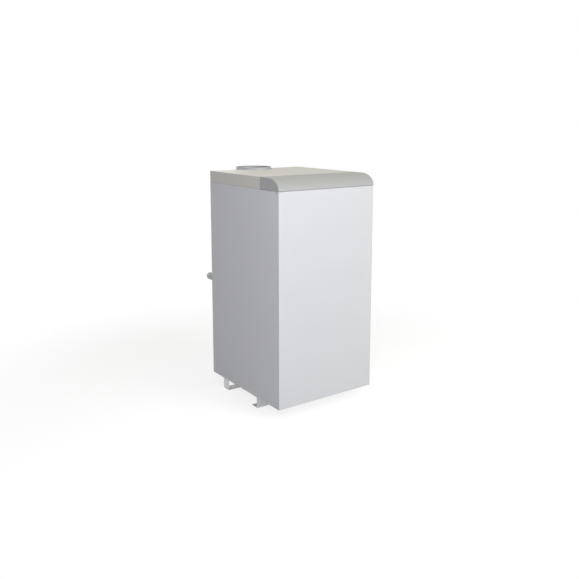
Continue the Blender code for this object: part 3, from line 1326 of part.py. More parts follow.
def build_draught_hood(steel, metal):
    half = HOOD_WIDTH / 2
    bm = bmesh.new()
    add_open_box(bm, (-half, HOOD_FRONT, HOOD_BOTTOM), (half, REAR, HOOD_TOP), HOOD_SHEET, 2, False)
    hood = piece("draught_hood", bm, steel)
    bm = bmesh.new()
    start = (0, COLLAR_Y, HOOD_TOP - HOOD_SHEET / 2)
    length = TOP + COLLAR_RISE - start[2]
    add_cylinder(bm, start, (0, 0, 1), COLLAR_RADIUS, length, FINE_STEPS)
    join(hood, bm)
    bm = bmesh.new()
    start = (0, COLLAR_Y, HOOD_TOP - HOOD_SHEET - CUT_OVERRUN)
    length = TOP + COLLAR_RISE + CUT_OVERRUN - start[2]
    add_cylinder(bm, start, (0, 0, 1), COLLAR_RADIUS - COLLAR_WALL, length, FINE_STEPS)
    cut(hood, bm)
    bm = bmesh.new()
    add_collector_port(bm, HOOD_FRONT - CUT_OVERRUN, HOOD_FRONT + HOOD_SHEET + CUT_OVERRUN)
    cut(hood, bm)

    bm = bmesh.new()
    centre = (-half - SEAT, REAR - SPILL_FROM_BACK, HOOD_BOTTOM + SPILL_RISE)
    tip = SPILL_SENSOR_HEIGHT + SPILL_STUD_HEIGHT
    profile = [
        (0, 0),
        (SPILL_SENSOR_RADIUS, 0),
        (SPILL_SENSOR_RADIUS, SPILL_SENSOR_HEIGHT),
        (SPILL_STUD_RADIUS, SPILL_SENSOR_HEIGHT),
        (SPILL_STUD_RADIUS, tip),
        (0, tip),
    ]
    add_turned(bm, profile, centre, (-1, 0, 0), SMALL_STEPS)
    piece("spill_thermostat", bm, metal)


def build_burner(steel, ceramic):
    """Bars on a tray. Their mouths come out through the burner plate, towards the injectors."""
    bar_front = BLOCK_FRONT
    bar_back = BLOCK_BACK - CHAMBER_BACK_WALL - BURNER_BACK_MARGIN
    tray_half = CHAMBER_HALF - TRAY_SIDE_CLEARANCE
    bm = bmesh.new()
    low = (-tray_half, bar_front, BLOCK_BOTTOM + TRAY_FLOOR_GAP)
    add_open_box(bm, low, (tray_half, bar_back, BURNER_BAR_BOTTOM - SEAT), TRAY_SHEET, 2, True)
    piece("burner_tray", bm, steel)

    bm = bmesh.new()
    half = CHAMBER_HALF + BURNER_PLATE_OVERLAP
    low = (-half, BURNER_PLATE_FRONT, BLOCK_BOTTOM)
    add_box(bm, low, (half, BLOCK_FRONT - SEAT, BURNER_PLATE_TOP))
    plate = piece("burner_plate", bm, steel)
    bm = bmesh.new()
    start_y = BURNER_PLATE_FRONT - CUT_OVERRUN
    length = BURNER_PLATE_THICKNESS + 2 * CUT_OVERRUN
    for x in BURNER_XS:
        start = (x, start_y, BURNER_HEIGHT)
        add_cylinder(bm, start, (0, 1, 0), BURNER_NECK_RADIUS + SEAT, length, SMALL_STEPS)
    start = (electrode_x(), start_y, BURNER_HEIGHT + ELECTRODE_RISE)
    add_cylinder(bm, start, (0, 1, 0), ELECTRODE_RADIUS + SEAT, length, SMALL_STEPS)
    cut(plate, bm)

    radius = BURNER_WIDTH / 2
    for i, x in enumerate(BURNER_XS):
        low_z = BURNER_BAR_BOTTOM + radius
        high_z = BURNER_BAR_BOTTOM + BURNER_BAR_HEIGHT - radius
        outline = arc((x, high_z), radius, radius, 0, math.pi, BURNER_BAR_ARC_STEPS)
        outline += arc((x, low_z), radius, radius, math.pi, 2 * math.pi, BURNER_BAR_ARC_STEPS)
        bm = bmesh.new()
        add_prism(bm, outline, 1, bar_front + SEAT, bar_back)
        tube = piece(f"burner_bar_{i + 1}", bm, steel)
        neck_end = bar_front + JOIN_OVERLAP - MOUTH_FRONT
        profile = [
            (0, 0),
            (BURNER_MOUTH_RADIUS, 0),
            (BURNER_NECK_RADIUS, BURNER_MOUTH_LENGTH),
            (BURNER_NECK_RADIUS, neck_end),
            (0, neck_end),
        ]
        bm = bmesh.new()
        add_turned(bm, profile, (x, MOUTH_FRONT, BURNER_HEIGHT), (0, 1, 0), SMALL_STEPS)
        join(tube, bm)
        bm = bmesh.new()
        wall = BURNER_NECK_RADIUS - BURNER_BORE_RADIUS
        flare = (BURNER_MOUTH_RADIUS - BURNER_NECK_RADIUS) / BURNER_MOUTH_LENGTH
        bore_end = bar_back - MOUTH_FRONT - wall
        profile = [
            (0, -CUT_OVERRUN),
            (BURNER_MOUTH_RADIUS - wall + flare * CUT_OVERRUN, -CUT_OVERRUN),
            (BURNER_BORE_RADIUS, BURNER_MOUTH_LENGTH),
            (BURNER_BORE_RADIUS, bore_end),
            (0, bore_end),
        ]
        add_turned(bm, profile, (x, MOUTH_FRONT, BURNER_HEIGHT), (0, 1, 0), SMALL_STEPS)
        cut(tube, bm)

    bm = bmesh.new()
    centre = (electrode_x(), BURNER_PLATE_FRONT - SEAT, BURNER_HEIGHT + ELECTRODE_RISE)
    profile = [
        (0, -ELECTRODE_FRONT),
        (ELECTRODE_TIP_RADIUS, -ELECTRODE_FRONT),
        (ELECTRODE_TIP_RADIUS, -ELECTRODE_FRONT + ELECTRODE_TERMINAL),
        (ELECTRODE_RADIUS, -ELECTRODE_FRONT + ELECTRODE_TERMINAL),
        (ELECTRODE_RADIUS, -ELECTRODE_FLANGE),
        (ELECTRODE_FLANGE_RADIUS, -ELECTRODE_FLANGE),
        (ELECTRODE_FLANGE_RADIUS, 0),
        (ELECTRODE_RADIUS, 0),
        (ELECTRODE_RADIUS, ELECTRODE_BACK),
        (ELECTRODE_TIP_RADIUS, ELECTRODE_BACK),
        (ELECTRODE_TIP_RADIUS, ELECTRODE_BACK + ELECTRODE_TIP),
        (0, ELECTRODE_BACK + ELECTRODE_TIP),
    ]
    add_turned(bm, profile, centre, (0, 1, 0), TINY_STEPS)
    piece("ignition_electrode", bm, ceramic)


def electrode_x():
    """Halfway between the last two burner bars."""
    return (BURNER_XS[-1] + BURNER_XS[-2]) / 2


def build_chamber_plate(steel, glass, metal):
    """Closes the chamber over the burner plate. A flap hangs over the sight glass."""
    half = CHAMBER_HALF + BURNER_PLATE_OVERLAP
    back = BLOCK_FRONT - SEAT
    front = back - CHAMBER_PLATE_THICKNESS
    bm = bmesh.new()
    low = (-half, front, BURNER_PLATE_TOP + SEAT)
    add_box(bm, low, (half, back, CHAMBER_TOP + CHAMBER_PLATE_COVER))
    plate = piece("chamber_plate", bm, steel)
    pivot = (SIGHT_X, front, SIGHT_HEIGHT + FLAP_PIVOT_RISE)
    bm = bmesh.new()
    start = (pivot[0], front + CHAMBER_PLATE_THICKNESS / 2, pivot[2])
    length = CHAMBER_PLATE_THICKNESS / 2 + FLAP_PIVOT_LENGTH
    add_cylinder(bm, start, (0, -1, 0), FLAP_PIVOT_RADIUS, length, TINY_STEPS)
    join(plate, bm)
    bm = bmesh.new()
    start = (SIGHT_X, back + CUT_OVERRUN, SIGHT_HEIGHT)
    length = CHAMBER_PLATE_THICKNESS + 2 * CUT_OVERRUN
    add_cylinder(bm, start, (0, -1, 0), SIGHT_RADIUS + SEAT, length, ROUND_STEPS)
    cut(plate, bm)

    bm = bmesh.new()
    start = (SIGHT_X, back, SIGHT_HEIGHT)
    add_cylinder(bm, start, (0, -1, 0), SIGHT_RADIUS, CHAMBER_PLATE_THICKNESS, ROUND_STEPS)
    piece("sight_glass", bm, glass)

    bm = bmesh.new()
    start = (SIGHT_X, front - SEAT, SIGHT_HEIGHT)
    add_cylinder(bm, start, (0, -1, 0), FLAP_RADIUS, FLAP_THICKNESS, ROUND_STEPS)
    flap = piece("sight_glass_flap", bm, metal, pivot)
    bm = bmesh.new()
    start = (pivot[0], front - SEAT, pivot[2])
    add_cylinder(bm, start, (0, -1, 0), FLAP_EAR_RADIUS, FLAP_THICKNESS, SMALL_STEPS)
    join(flap, bm)
    bm = bmesh.new()
    low = (pivot[0] - FLAP_NECK_WIDTH / 2, front - SEAT - FLAP_THICKNESS, SIGHT_HEIGHT)
    add_box(bm, low, (pivot[0] + FLAP_NECK_WIDTH / 2, front - SEAT, pivot[2]))
    join(flap, bm)
    bm = bmesh.new()
    start = (pivot[0], front + CUT_OVERRUN, pivot[2])
    length = SEAT + FLAP_THICKNESS + 2 * CUT_OVERRUN
    add_cylinder(bm, start, (0, -1, 0), FLAP_PIVOT_RADIUS + SEAT, length, TINY_STEPS)
    cut(flap, bm)


def build_gas_line(steel, alloy):
    valve_left = VALVE_X - VALVE_WIDTH / 2
    valve_right = VALVE_X + VALVE_WIDTH / 2
    valve_top = BURNER_HEIGHT + VALVE_HEIGHT / 2
    corners = [
        (GAS_X, BACK + GAS_PIPE_PROJECTION, GAS_INLET_HEIGHT),
        (GAS_X, MANIFOLD_Y, GAS_INLET_HEIGHT),
        (GAS_X, MANIFOLD_Y, valve_top + GAS_CROSSING_RISE),
        (VALVE_X, MANIFOLD_Y, valve_top + GAS_CROSSING_RISE),
        (VALVE_X, MANIFOLD_Y, valve_top + SEAT),
    ]
    bm = bmesh.new()
    route = rounded_route(corners, GAS_ELBOW_RADIUS, GAS_ELBOW_STEPS)
    add_pipe(bm, route, GAS_PIPE_RADIUS, GAS_PIPE_RADIUS - GAS_PIPE_WALL, SMALL_STEPS)
    piece("gas_inlet_pipe", bm, steel)

    low = (valve_left, MANIFOLD_Y - VALVE_DEPTH / 2, BURNER_HEIGHT - VALVE_HEIGHT / 2)
    high = (valve_right, MANIFOLD_Y + VALVE_DEPTH / 2, BURNER_HEIGHT + VALVE_HEIGHT / 2)
    bm = bmesh.new()
    add_box(bm, low, high)
    round_edges(bm, list(bm.edges), VALVE_BEVEL, VALVE_BEVEL_STEPS)
    valve = piece("gas_valve", bm, alloy)
    bm = bmesh.new()
    start = (VALVE_X, low[1] + CUT_OVERRUN, BURNER_HEIGHT)
    add_cylinder(bm, start, (0, -1, 0), VALVE_TOWER_RADIUS, VALVE_TOWER_HEIGHT + CUT_OVERRUN, ROUND_STEPS)
    join(valve, bm)

    bm = bmesh.new()
    start = (valve_right + SEAT, MANIFOLD_Y, BURNER_HEIGHT)
    length = BURNER_XS[-1] + MANIFOLD_END_MARGIN - start[0]
    add_cylinder(bm, start, (1, 0, 0), MANIFOLD_RADIUS, length, ROUND_STEPS)
    manifold = piece("gas_manifold", bm, alloy)
    reach = MANIFOLD_RADIUS + INJECTOR_LENGTH
    bm = bmesh.new()
    for x in BURNER_XS:
        start = (x, MANIFOLD_Y, BURNER_HEIGHT)
        add_cylinder(bm, start, (0, 1, 0), INJECTOR_RADIUS, reach, HEX_STEPS)
    join(manifold, bm)
    bm = bmesh.new()
    start = (valve_right - CUT_OVERRUN, MANIFOLD_Y, BURNER_HEIGHT)
    bore_length = length + CUT_OVERRUN - MANIFOLD_RADIUS + MANIFOLD_BORE
    add_cylinder(bm, start, (1, 0, 0), MANIFOLD_BORE, bore_length, SMALL_STEPS)
    cut(manifold, bm)
    bm = bmesh.new()
    for x in BURNER_XS:
        start = (x, MANIFOLD_Y, BURNER_HEIGHT)
        add_cylinder(bm, start, (0, 1, 0), INJECTOR_BORE, reach + CUT_OVERRUN, HEX_STEPS)
    cut(manifold, bm)


def main():
    clear_scene()
    white_paint = make_material("white_paint", (0.80, 0.81, 0.82), 0.35)
    grey_paint = make_material("grey_paint", (0.60, 0.60, 0.61), 0.40)
    cover_plastic = make_material("cover_plastic", (0.52, 0.52, 0.50), 0.45)
    zinc = make_material("zinc_plated_steel", (0.62, 0.63, 0.65), 0.35, 0.9)
    bright_steel = make_material("aluminised_steel", (0.55, 0.55, 0.54), 0.40, 0.9)
    dark_paint = make_material("dark_grey_paint", (0.10, 0.10, 0.11), 0.50)
    black_plastic = make_material("black_plastic", (0.02, 0.02, 0.02), 0.40)
    white_plastic = make_material("white_plastic", (0.75, 0.75, 0.73), 0.40)
    red_plastic = make_material("red_plastic", (0.60, 0.04, 0.03), 0.35)
    cast_iron = make_material("cast_iron", (0.06, 0.06, 0.06), 0.75, 0.4)
    wool = make_material("foil_faced_wool", (0.66, 0.66, 0.64), 0.50)
    brass = make_material("brass", (0.70, 0.52, 0.22), 0.35, 0.95)
    alloy = make_material("die_cast_aluminium", (0.55, 0.56, 0.58), 0.45, 0.9)
    ceramic = make_material("ceramic", (0.85, 0.83, 0.78), 0.30)
    glass = make_material("glass", (0.55, 0.60, 0.58), 0.05)

    build_base_frame(zinc)
    build_feet(zinc)
    build_side_panels(grey_paint)
    build_back_panel(zinc)
    build_top_cover(grey_paint)
    build_front_door(white_paint, wool)
    build_door_hinges(zinc)
    build_door_magnet(black_plastic)
    build_console_cover(cover_plastic)
    build_cover_hinges(zinc)
    build_control_panel(dark_paint)
    build_thermostat(black_plastic, zinc)
    build_switch("main_switch", MAIN_SWITCH_X, black_plastic, red_plastic)
    build_switch("season_switch", SEASON_SWITCH_X, black_plastic, white_plastic)
    build_reset_button(red_plastic, black_plastic)
    build_gauge("thermometer", THERMOMETER_X, black_plastic, red_plastic)
    build_gauge("pressure_gauge", PRESSURE_GAUGE_X, black_plastic, red_plastic)
    build_safety_thermostat(zinc, black_plastic)
    build_cable_gland(black_plastic)
    build_sections(cast_iron)
    build_tie_rods(zinc)
    build_blanket(wool)
    build_water_pipes(zinc)
    build_drain_cock(brass, red_plastic)
    build_collector(bright_steel)
    build_draught_hood(bright_steel, zinc)
    build_burner(bright_steel, ceramic)
    build_chamber_plate(bright_steel, glass, zinc)
    build_gas_line(zinc, alloy)


main()
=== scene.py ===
"""The looks of a floor standing gas boiler, built around its CAD model as a Blender add-on.

Each operator dresses one piece or one group of like pieces. Lengths are in metres, in the CAD's
frame: -Y is the front with the door, +Z is up.
"""
import math

import bmesh
import bpy
from bpy.props import FloatProperty, FloatVectorProperty, IntProperty, PointerProperty
from mathutils import Matrix, Vector


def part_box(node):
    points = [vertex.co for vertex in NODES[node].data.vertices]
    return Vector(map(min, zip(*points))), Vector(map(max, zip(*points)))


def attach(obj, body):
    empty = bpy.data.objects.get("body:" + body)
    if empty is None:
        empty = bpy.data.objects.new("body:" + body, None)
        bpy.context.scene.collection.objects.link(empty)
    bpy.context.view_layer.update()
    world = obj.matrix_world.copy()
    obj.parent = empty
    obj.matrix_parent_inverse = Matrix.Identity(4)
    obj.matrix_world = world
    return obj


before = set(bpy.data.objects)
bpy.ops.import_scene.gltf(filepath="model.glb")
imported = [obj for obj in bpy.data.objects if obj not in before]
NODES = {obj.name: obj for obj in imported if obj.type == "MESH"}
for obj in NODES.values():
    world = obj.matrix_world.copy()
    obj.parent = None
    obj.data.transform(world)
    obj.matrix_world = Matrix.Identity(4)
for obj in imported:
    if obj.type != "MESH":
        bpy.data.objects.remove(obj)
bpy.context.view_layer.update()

bl_info = {
    "name": "Floor Standing Gas Boiler",
    "version": (1, 0, 0),
    "blender": (4, 5, 0),
    "location": "View3D > Sidebar > Boiler",
    "description": "Finishes, fastenings, scales and stage of a floor standing gas boiler",
    "category": "Object",
}

SIDES = (-1, 1)
FORWARD, BACKWARD, UP, DOWN = (0, -1, 0), (0, 1, 0), (0, 0, 1), (0, 0, -1)
EVEN = (1, 1, 1)
METAL, NO_METAL = 1.0, 0.0
NOISE, CELLS = "ShaderNodeTexNoise", "ShaderNodeTexVoronoi"
MATH, RAMP, RANGE = "ShaderNodeMath", "ShaderNodeValToRGB", "ShaderNodeMapRange"
RED, PRINT_WHITE, PRINT_BLACK, TRIM_GREY = "#B3201C", "#E9E9E4", "#232425", "#C4C4C4"


# Tools for materials


def linear(colour, share=1.0):
    """Linear RGBA of an sRGB hex colour, or of a colour that is linear already, times a share."""
    if isinstance(colour, str):
        channels = [int(colour[i:i + 2], 16) / 255 for i in (1, 3, 5)]
        colour = [c / 12.92 if c <= 0.04045 else ((c + 0.055) / 1.055) ** 2.4 for c in channels]
    return tuple(c * share for c in colour[:3]) + (1.0,)


def per_mm(spacing):
    """Texture scale, in the CAD's metres, for a pattern that repeats about every so many mm."""
    return 1000.0 / spacing


def mm(length):
    return length / 1000.0


def feed(tree, node, sources):
    """Links a node's inputs to outputs. A node among the sources stands for its first output."""
    for key, source in sources.items():
        tree.links.new(getattr(source, "outputs", [source])[0], node.inputs[key])


def add(tree, kind, values=None, links=None, ramp=(), **settings):
    """Adds a node with its settings, its inputs' values and links, and the tones of its ramp."""
    made = tree.nodes.new(kind)
    for name, setting in settings.items():
        setattr(made, name, setting)
    for key, value in (values or {}).items():
        made.inputs[key].default_value = value
    feed(tree, made, links or {})
    for i, (position, colour) in enumerate(ramp):
        tone = made.color_ramp.elements[i]
        tone.position, tone.color = position, linear(colour)
    return made


def placed(tree, stretch=EVEN):
    """Where a point lies on the piece, in metres, stretched where marks run one way."""
    at = add(tree, "ShaderNodeTexCoord").outputs["Object"]
    return add(tree, "ShaderNodeMapping", {"Scale": stretch}, {"Vector": at})


def mottle(tree, shader, spacing, dark, light, rough_low, rough_high, detail=3.0, stretch=EVEN):
    """Clouds that vary the colour between two tones and the roughness with them."""
    thin, thick = 0.3, 0.7
    cloud = add(tree, NOISE, {"Scale": per_mm(spacing), "Detail": detail, "Roughness": 0.6},
                {"Vector": placed(tree, stretch)})
    tone = add(tree, RAMP, links={"Fac": cloud}, ramp=((thin, dark), (thick, light)))
    gloss = add(tree, RANGE, {"From Min": thin, "From Max": thick, "To Min": rough_low,
                              "To Max": rough_high}, {"Value": cloud})
    feed(tree, shader, {"Base Color": tone, "Roughness": gloss})


def relief(tree, shader, spacing, depth, strength=1.0, detail=1.0, stretch=EVEN, kind=NOISE,
           height=None):
    """Unevenness with peaks about spacing apart and depth high, both in mm, or a given height."""
    height = height or add(tree, kind, {"Scale": per_mm(spacing), "Detail": detail},
                           {"Vector": placed(tree, stretch)})
    below = {"Normal": link.from_socket for link in shader.inputs["Normal"].links}
    bump = add(tree, "ShaderNodeBump", {"Strength": strength, "Distance": mm(depth)},
               {"Height": height} | below)
    feed(tree, shader, {"Normal": bump})


FINISHES = {}


def finish(name, colour, roughness, metallic=NO_METAL, clouds=None, *reliefs, surface=None,
           **sockets):
    """Makes a material once. What is the same all over goes on the shader's own sockets.

    clouds and each of the reliefs are what mottle and relief take. surface adds anything else.
    """
    if name not in FINISHES:
        made = bpy.data.materials.new(name)
        made.use_nodes = True
        tree = made.node_tree
        shader = tree.nodes["Principled BSDF"]
        sockets |= {"Base Color": linear(colour), "Roughness": roughness, "Metallic": metallic}
        for socket, value in sockets.items():
            shader.inputs[socket].default_value = value
        if clouds:
            mottle(tree, shader, *clouds)
        for row in reliefs:
            relief(tree, shader, *row)
        if surface:
            surface(tree, shader)
        FINISHES[name] = made
    return FINISHES[name]


# Finishes, each named for what the real piece is made of and how, and for painted light where a
# finish carries it


def powder_coat(colour, name="powder-coated sheet steel, white"):
    """Polyester powder baked on steel sheet: satin, with a soft peel that breaks up highlights.

    Real orange peel repeats every 1.5 mm or so. It is drawn at 5 mm to show from a step away.
    Panels rolled from coil also carry a faint waviness a hand wide.
    """
    return finish(name, colour, 0.4, NO_METAL, (140.0, linear(colour, 0.985), colour, 0.36, 0.44),
                  (160.0, 0.9, 0.35, 0.0), (5.0, 0.035, 0.5), IOR=1.5)


def moulded_abs(colour):
    """ABS moulded against an eroded tool: matt, with a fine grain, 0.3 mm and drawn at 2."""
    return finish("ABS, moulded with a fine grain", colour, 0.5, NO_METAL,
                  (60.0, linear(colour, 0.97), colour, 0.44, 0.54), (2.0, 0.05, 0.45), IOR=1.53)


def textured_paint():
    """Dark epoxy powder with a crinkled texture, 0.8 mm and drawn at 2: nearly no highlight."""
    return finish("texture powder on sheet steel, dark grey", "#414447", 0.6, NO_METAL,
                  (30.0, "#3C3F42", "#45484B", 0.5, 0.66), (2.0, 0.12, 0.6, 0.0, EVEN, CELLS))


def zinc_plate():
    """Electroplated zinc, clear passivated: a cool grey metal with cloudy, yellowish patches.

    Rolling marks of the sheet below run along X. They are 0.1 mm apart and drawn at 1.5.
    """
    return finish("sheet steel, zinc plated", "#C6C7C7", 0.54, METAL,
                  (24.0, "#BFBFBD", "#CCCDCE", 0.5, 0.58), (1.5, 0.02, 0.5, 1.0, (0.06, 1, 1)))


def aluminised_sheet():
    """Hot-dip aluminised steel: dull silver with faint spangles 5 mm across, rather diffuse."""
    def surface(tree, shader):
        spangle = add(tree, CELLS, {"Scale": per_mm(5.0), "Randomness": 1.0},
                      {"Vector": placed(tree)}).outputs["Color"]
        tone = add(tree, RAMP, links={"Fac": spangle}, ramp=((0.1, "#AFB1B2"), (0.9, "#BBBDBE")))
        gloss = add(tree, RANGE, {"To Min": 0.60, "To Max": 0.68}, {"Value": spangle})
        feed(tree, shader, {"Base Color": tone, "Roughness": gloss})

    return finish("sheet steel, hot-dip aluminised", "#B5B7B8", 0.64, METAL, None,
                  (30.0, 0.2, 0.25), surface=surface)


def burner_steel():
    """Heat-resisting steel that flames have coloured: straw and blue-grey bands over satin."""
    return finish("heat-resisting steel, heat tinted", "#8A8278", 0.4, METAL,
                  (45.0, "#6C6660", "#9A8F80", 0.32, 0.5, 3.0, (1, 0.4, 1)),
                  (2.5, 0.03, 0.5, 1.0, (1, 0.1, 1)))


def sand_cast_iron():
    """Grey iron cast in sand and left raw: dark, rough, a touch brown. Grit is 1 mm, drawn at 3."""
    return finish("grey iron, sand cast", "#3E3A37", 0.72, 0.45,
                  (22.0, "#33302E", "#4A4541", 0.62, 0.82, 6.0), (14.0, 0.6, 0.5, 2.0),
                  (3.0, 0.35, 0.7, 4.0))


def faced_wool():
    """Mineral wool faced with foil on a glass scrim: crinkled, with the scrim's 12 mm grid."""
    def surface(tree, shader):
        at = add(tree, "ShaderNodeSeparateXYZ", links={"Vector": placed(tree)})
        grid = None
        for axis in "XYZ":
            wave = add(tree, MATH, {1: mm(12.0)}, {0: at.outputs[axis]}, operation="PINGPONG")
            line = add(tree, MATH, {1: mm(0.7)}, {0: wave}, operation="LESS_THAN")
            if grid:
                line = add(tree, MATH, links={0: grid, 1: line}, operation="MAXIMUM")
            grid = line
        relief(tree, shader, None, 0.3, 0.5, height=grid)

    return finish("mineral wool faced with reinforced foil", "#C6C8CA", 0.3, METAL,
                  (16.0, "#B9BBBD", "#D2D4D6", 0.24, 0.4), (26.0, 2.4, 0.75, 4.0), surface=surface)


def foil_tape():
    """Plain aluminium tape pressed down by hand: brighter than the foil, with small creases."""
    return finish("aluminium foil tape, pressed on", "#D4D6D8", 0.24, METAL,
                  (9.0, "#C9CBCD", "#DEDFE0", 0.18, 0.3), (7.0, 0.5, 0.6, 3.0))


def bright_zinc():
    """Screws and clips, barrel zinc plated: brighter and smoother than plated sheet."""
    return finish("steel fastener, barrel zinc plated", "#CBCDD2", 0.28, METAL,
                  (3.0, "#BDBFC4", "#D6D8DC", 0.22, 0.34))


def threaded_steel():
    """Steel tube with cut threads: an oily grey that is brighter where the die has cut."""
    return finish("steel tube thread, cut and oiled", "#A3A19C", 0.32, METAL,
                  (8.0, "#8E8C88", "#B5B3AE", 0.25, 0.4))


def drawn_copper():
    """Thin copper tube drawn through a die, a little tarnished: warm, with soft brown clouds."""
    return finish("copper tube, drawn", "#C88C6C", 0.3, METAL,
                  (14.0, "#B97C5C", "#D59C7D", 0.24, 0.38))


def cable_sheath(name, colour):
    """A flexible sheath extruded over wires: satin, with faint bulges where they twist below."""
    return finish(f"cable sheath, extruded {name}", colour, 0.46, NO_METAL,
                  (25.0, linear(colour, 0.92), colour, 0.42, 0.52), (9.0, 0.12, 0.4, 0.0), IOR=1.5)


def galvanised_tube():
    """Steel tube, hot-dip galvanised: grey and uneven, with dull patches 15 mm across."""
    return finish("steel tube, hot-dip galvanised", "#979A9C", 0.5, METAL,
                  (15.0, "#85888A", "#A5A8AA", 0.4, 0.6, 4.0), (5.0, 0.08, 0.5))


def die_cast():
    """Pressure die-cast aluminium, blasted: soft light grey, with a 0.3 mm grain drawn at 1.2."""
    return finish("aluminium, die cast and blasted", "#B4B6B8", 0.5, METAL,
                  (12.0, "#A9ABAD", "#BFC1C3", 0.42, 0.56), (1.2, 0.05, 0.6))


def turned_brass():
    """Brass bar turned on a lathe: warm and bright, a little dulled in the cloudy patches."""
    return finish("brass, turned", "#C29F5C", 0.26, METAL,
                  (5.0, "#B08D4E", "#D0AE6B", 0.2, 0.34), (0.8, 0.02, 0.5))


def glass_filled_nylon():
    """Black nylon with glass fibre, moulded: satin, with flow marks and a grain drawn at 1.5 mm."""
    return finish("glass-filled nylon, moulded black", "#1B1C1E", 0.4, NO_METAL,
                  (9.0, "#17181A", "#1F2123", 0.34, 0.48), (1.5, 0.03, 0.5), IOR=1.53)


def polished_plastic(name, colour):
    """Polycarbonate from a polished tool: glossy and even, with the faintest sink marks."""
    return finish(f"polycarbonate, moulded {name}", colour, 0.2, NO_METAL,
                  (6.0, linear(colour, 0.94), colour, 0.16, 0.26), (12.0, 0.06, 0.3, 0.0),
                  IOR=1.58)


def printed_ink(name, colour):
    """Screen-printed ink: a thin matt film whose edge catches a little light."""
    return finish(f"screen-printed ink, {name}", colour, 0.55, NO_METAL,
                  (1.0, linear(colour, 0.95), colour, 0.45, 0.6))


def enamelled_dial():
    """Aluminium dial with white baked enamel: smooth and bright, under the lens."""
    return finish("aluminium dial, white enamel", "#E9E9E4", 0.32, NO_METAL,
                  (8.0, "#E4E4DF", "#ECECE8", 0.28, 0.36))


def clear_lens():
    """Clear polycarbonate lens: see-through, with a sharp reflection and faint moulding waves."""
    return finish("polycarbonate lens, clear", "#F7FAFA", 0.03, NO_METAL, None,
                  (18.0, 0.08, 0.3, 0.0), IOR=1.58, **{"Transmission Weight": 1.0})


def sight_pane():
    """Ceramic glass against the flame: slightly amber and smoked over the years."""
    return finish("glass-ceramic pane, amber", "#7A6449", 0.1, NO_METAL,
                  (6.0, "#5E4C3A", "#8A745A", 0.08, 0.2), IOR=1.54)


def glazed_ceramic():
    """The electrode's body is glazed alumina, glossy and off-white. Its two ends are bare metal."""
    low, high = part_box("ignition_electrode")
    glaze_start, glaze_end = low.y + 0.0068, high.y - 0.029

    def surface(tree, shader):
        at = placed(tree)
        y = add(tree, "ShaderNodeSeparateXYZ", links={"Vector": at}).outputs["Y"]
        tip = add(tree, MATH, {1: glaze_end}, {0: y}, operation="GREATER_THAN")
        terminal = add(tree, MATH, {1: glaze_start}, {0: y}, operation="LESS_THAN")
        metal = add(tree, MATH, links={0: tip, 1: terminal}, operation="MAXIMUM")
        cloud = add(tree, NOISE, {"Scale": per_mm(4.0), "Detail": 2.0}, {"Vector": at})
        glaze = add(tree, RAMP, links={"Fac": cloud}, ramp=((0.0, "#DAD7CC"), (1.0, "#EFEDE6")))
        tone = add(tree, "ShaderNodeMix", {7: linear("#8C857C")}, {0: metal, 6: glaze},
                   data_type="RGBA").outputs[2]
        gloss = add(tree, RANGE, {"To Min": 0.14, "To Max": 0.4}, {"Value": metal})
        feed(tree, shader, {"Base Color": tone, "Metallic": metal, "Roughness": gloss})

    return finish("alumina, glazed, with a metal rod", "#E6E3DA", 0.18, surface=surface)


def ferrite_rubber():
    """Rubber filled with ferrite for a magnet strip: dark brown, matt and chalky."""
    return finish("ferrite rubber, extruded", "#332C29", 0.78, NO_METAL,
                  (5.0, "#2B2522", "#3A322E", 0.7, 0.85), (1.5, 0.04, 0.6))


def moulded_rubber(name, colour):
    """Soft EPDM extruded as a trim: matt and even, with fine die lines, drawn 1 mm apart. The white
    beads in the door's seams use it as a painted highlight.
    """
    return finish(f"EPDM trim, extruded {name}", colour, 0.6, NO_METAL,
                  (20.0, linear(colour, 0.96), colour, 0.55, 0.7), (1.0, 0.02, 0.4))


def woven_gasket():
    """Glass fibre rope gasket: off-white and fuzzy, with a plait 3 mm long."""
    return finish("glass fibre rope, plaited", "#CBC6BA", 0.9, NO_METAL,
                  (4.0, "#B9B4A8", "#D8D3C7", 0.8, 0.95), (3.0, 0.6, 0.9, 3.0))


# Shapes


def middle(low, high):
    return (low + high) / 2


def axes_along(along):
    """Unit vectors along a direction and at right angles to it."""
    along = Vector(along).normalized()
    side = along.orthogonal().normalized()
    return along, side, along.cross(side)


def add_plate(bm, place, width, length, thickness):
    """A thin bar laid out by the place matrix, with its length along the matrix's Y."""
    size = Matrix.Diagonal((width, length, thickness, 1.0))
    bmesh.ops.create_cube(bm, size=1.0, matrix=place @ size)


def add_block(bm, corner, opposite, rounding=0.0, steps=2):
    """A cuboid between two opposite corners, with its edges rounded."""
    low, high = (tuple(map(pick, corner, opposite)) for pick in (min, max))
    corners = [bm.verts.new((x, y, z)) for z in (low[2], high[2]) for y in (low[1], high[1])
               for x in (low[0], high[0])]
    sides = ((0, 2, 3, 1), (4, 5, 7, 6), (0, 1, 5, 4), (2, 6, 7, 3), (0, 4, 6, 2), (1, 3, 7, 5))
    faces = [bm.faces.new([corners[i] for i in side]) for side in sides]
    if rounding:
        edges = {edge for face in faces for edge in face.edges}
        bmesh.ops.bevel(bm, geom=list(edges), offset=rounding, segments=steps, affect="EDGES",
                        profile=0.5)


def add_ring(bm, centre, side, up, radius, steps, twist=0.0):
    """A ring of vertices round a point. On the axis it is one vertex."""
    if radius < 1e-7:
        return [bm.verts.new(centre)]
    angles = [twist + 2 * math.pi * i / steps for i in range(steps)]
    return [bm.verts.new(centre + (side * math.cos(a) + up * math.sin(a)) * radius)
            for a in angles]


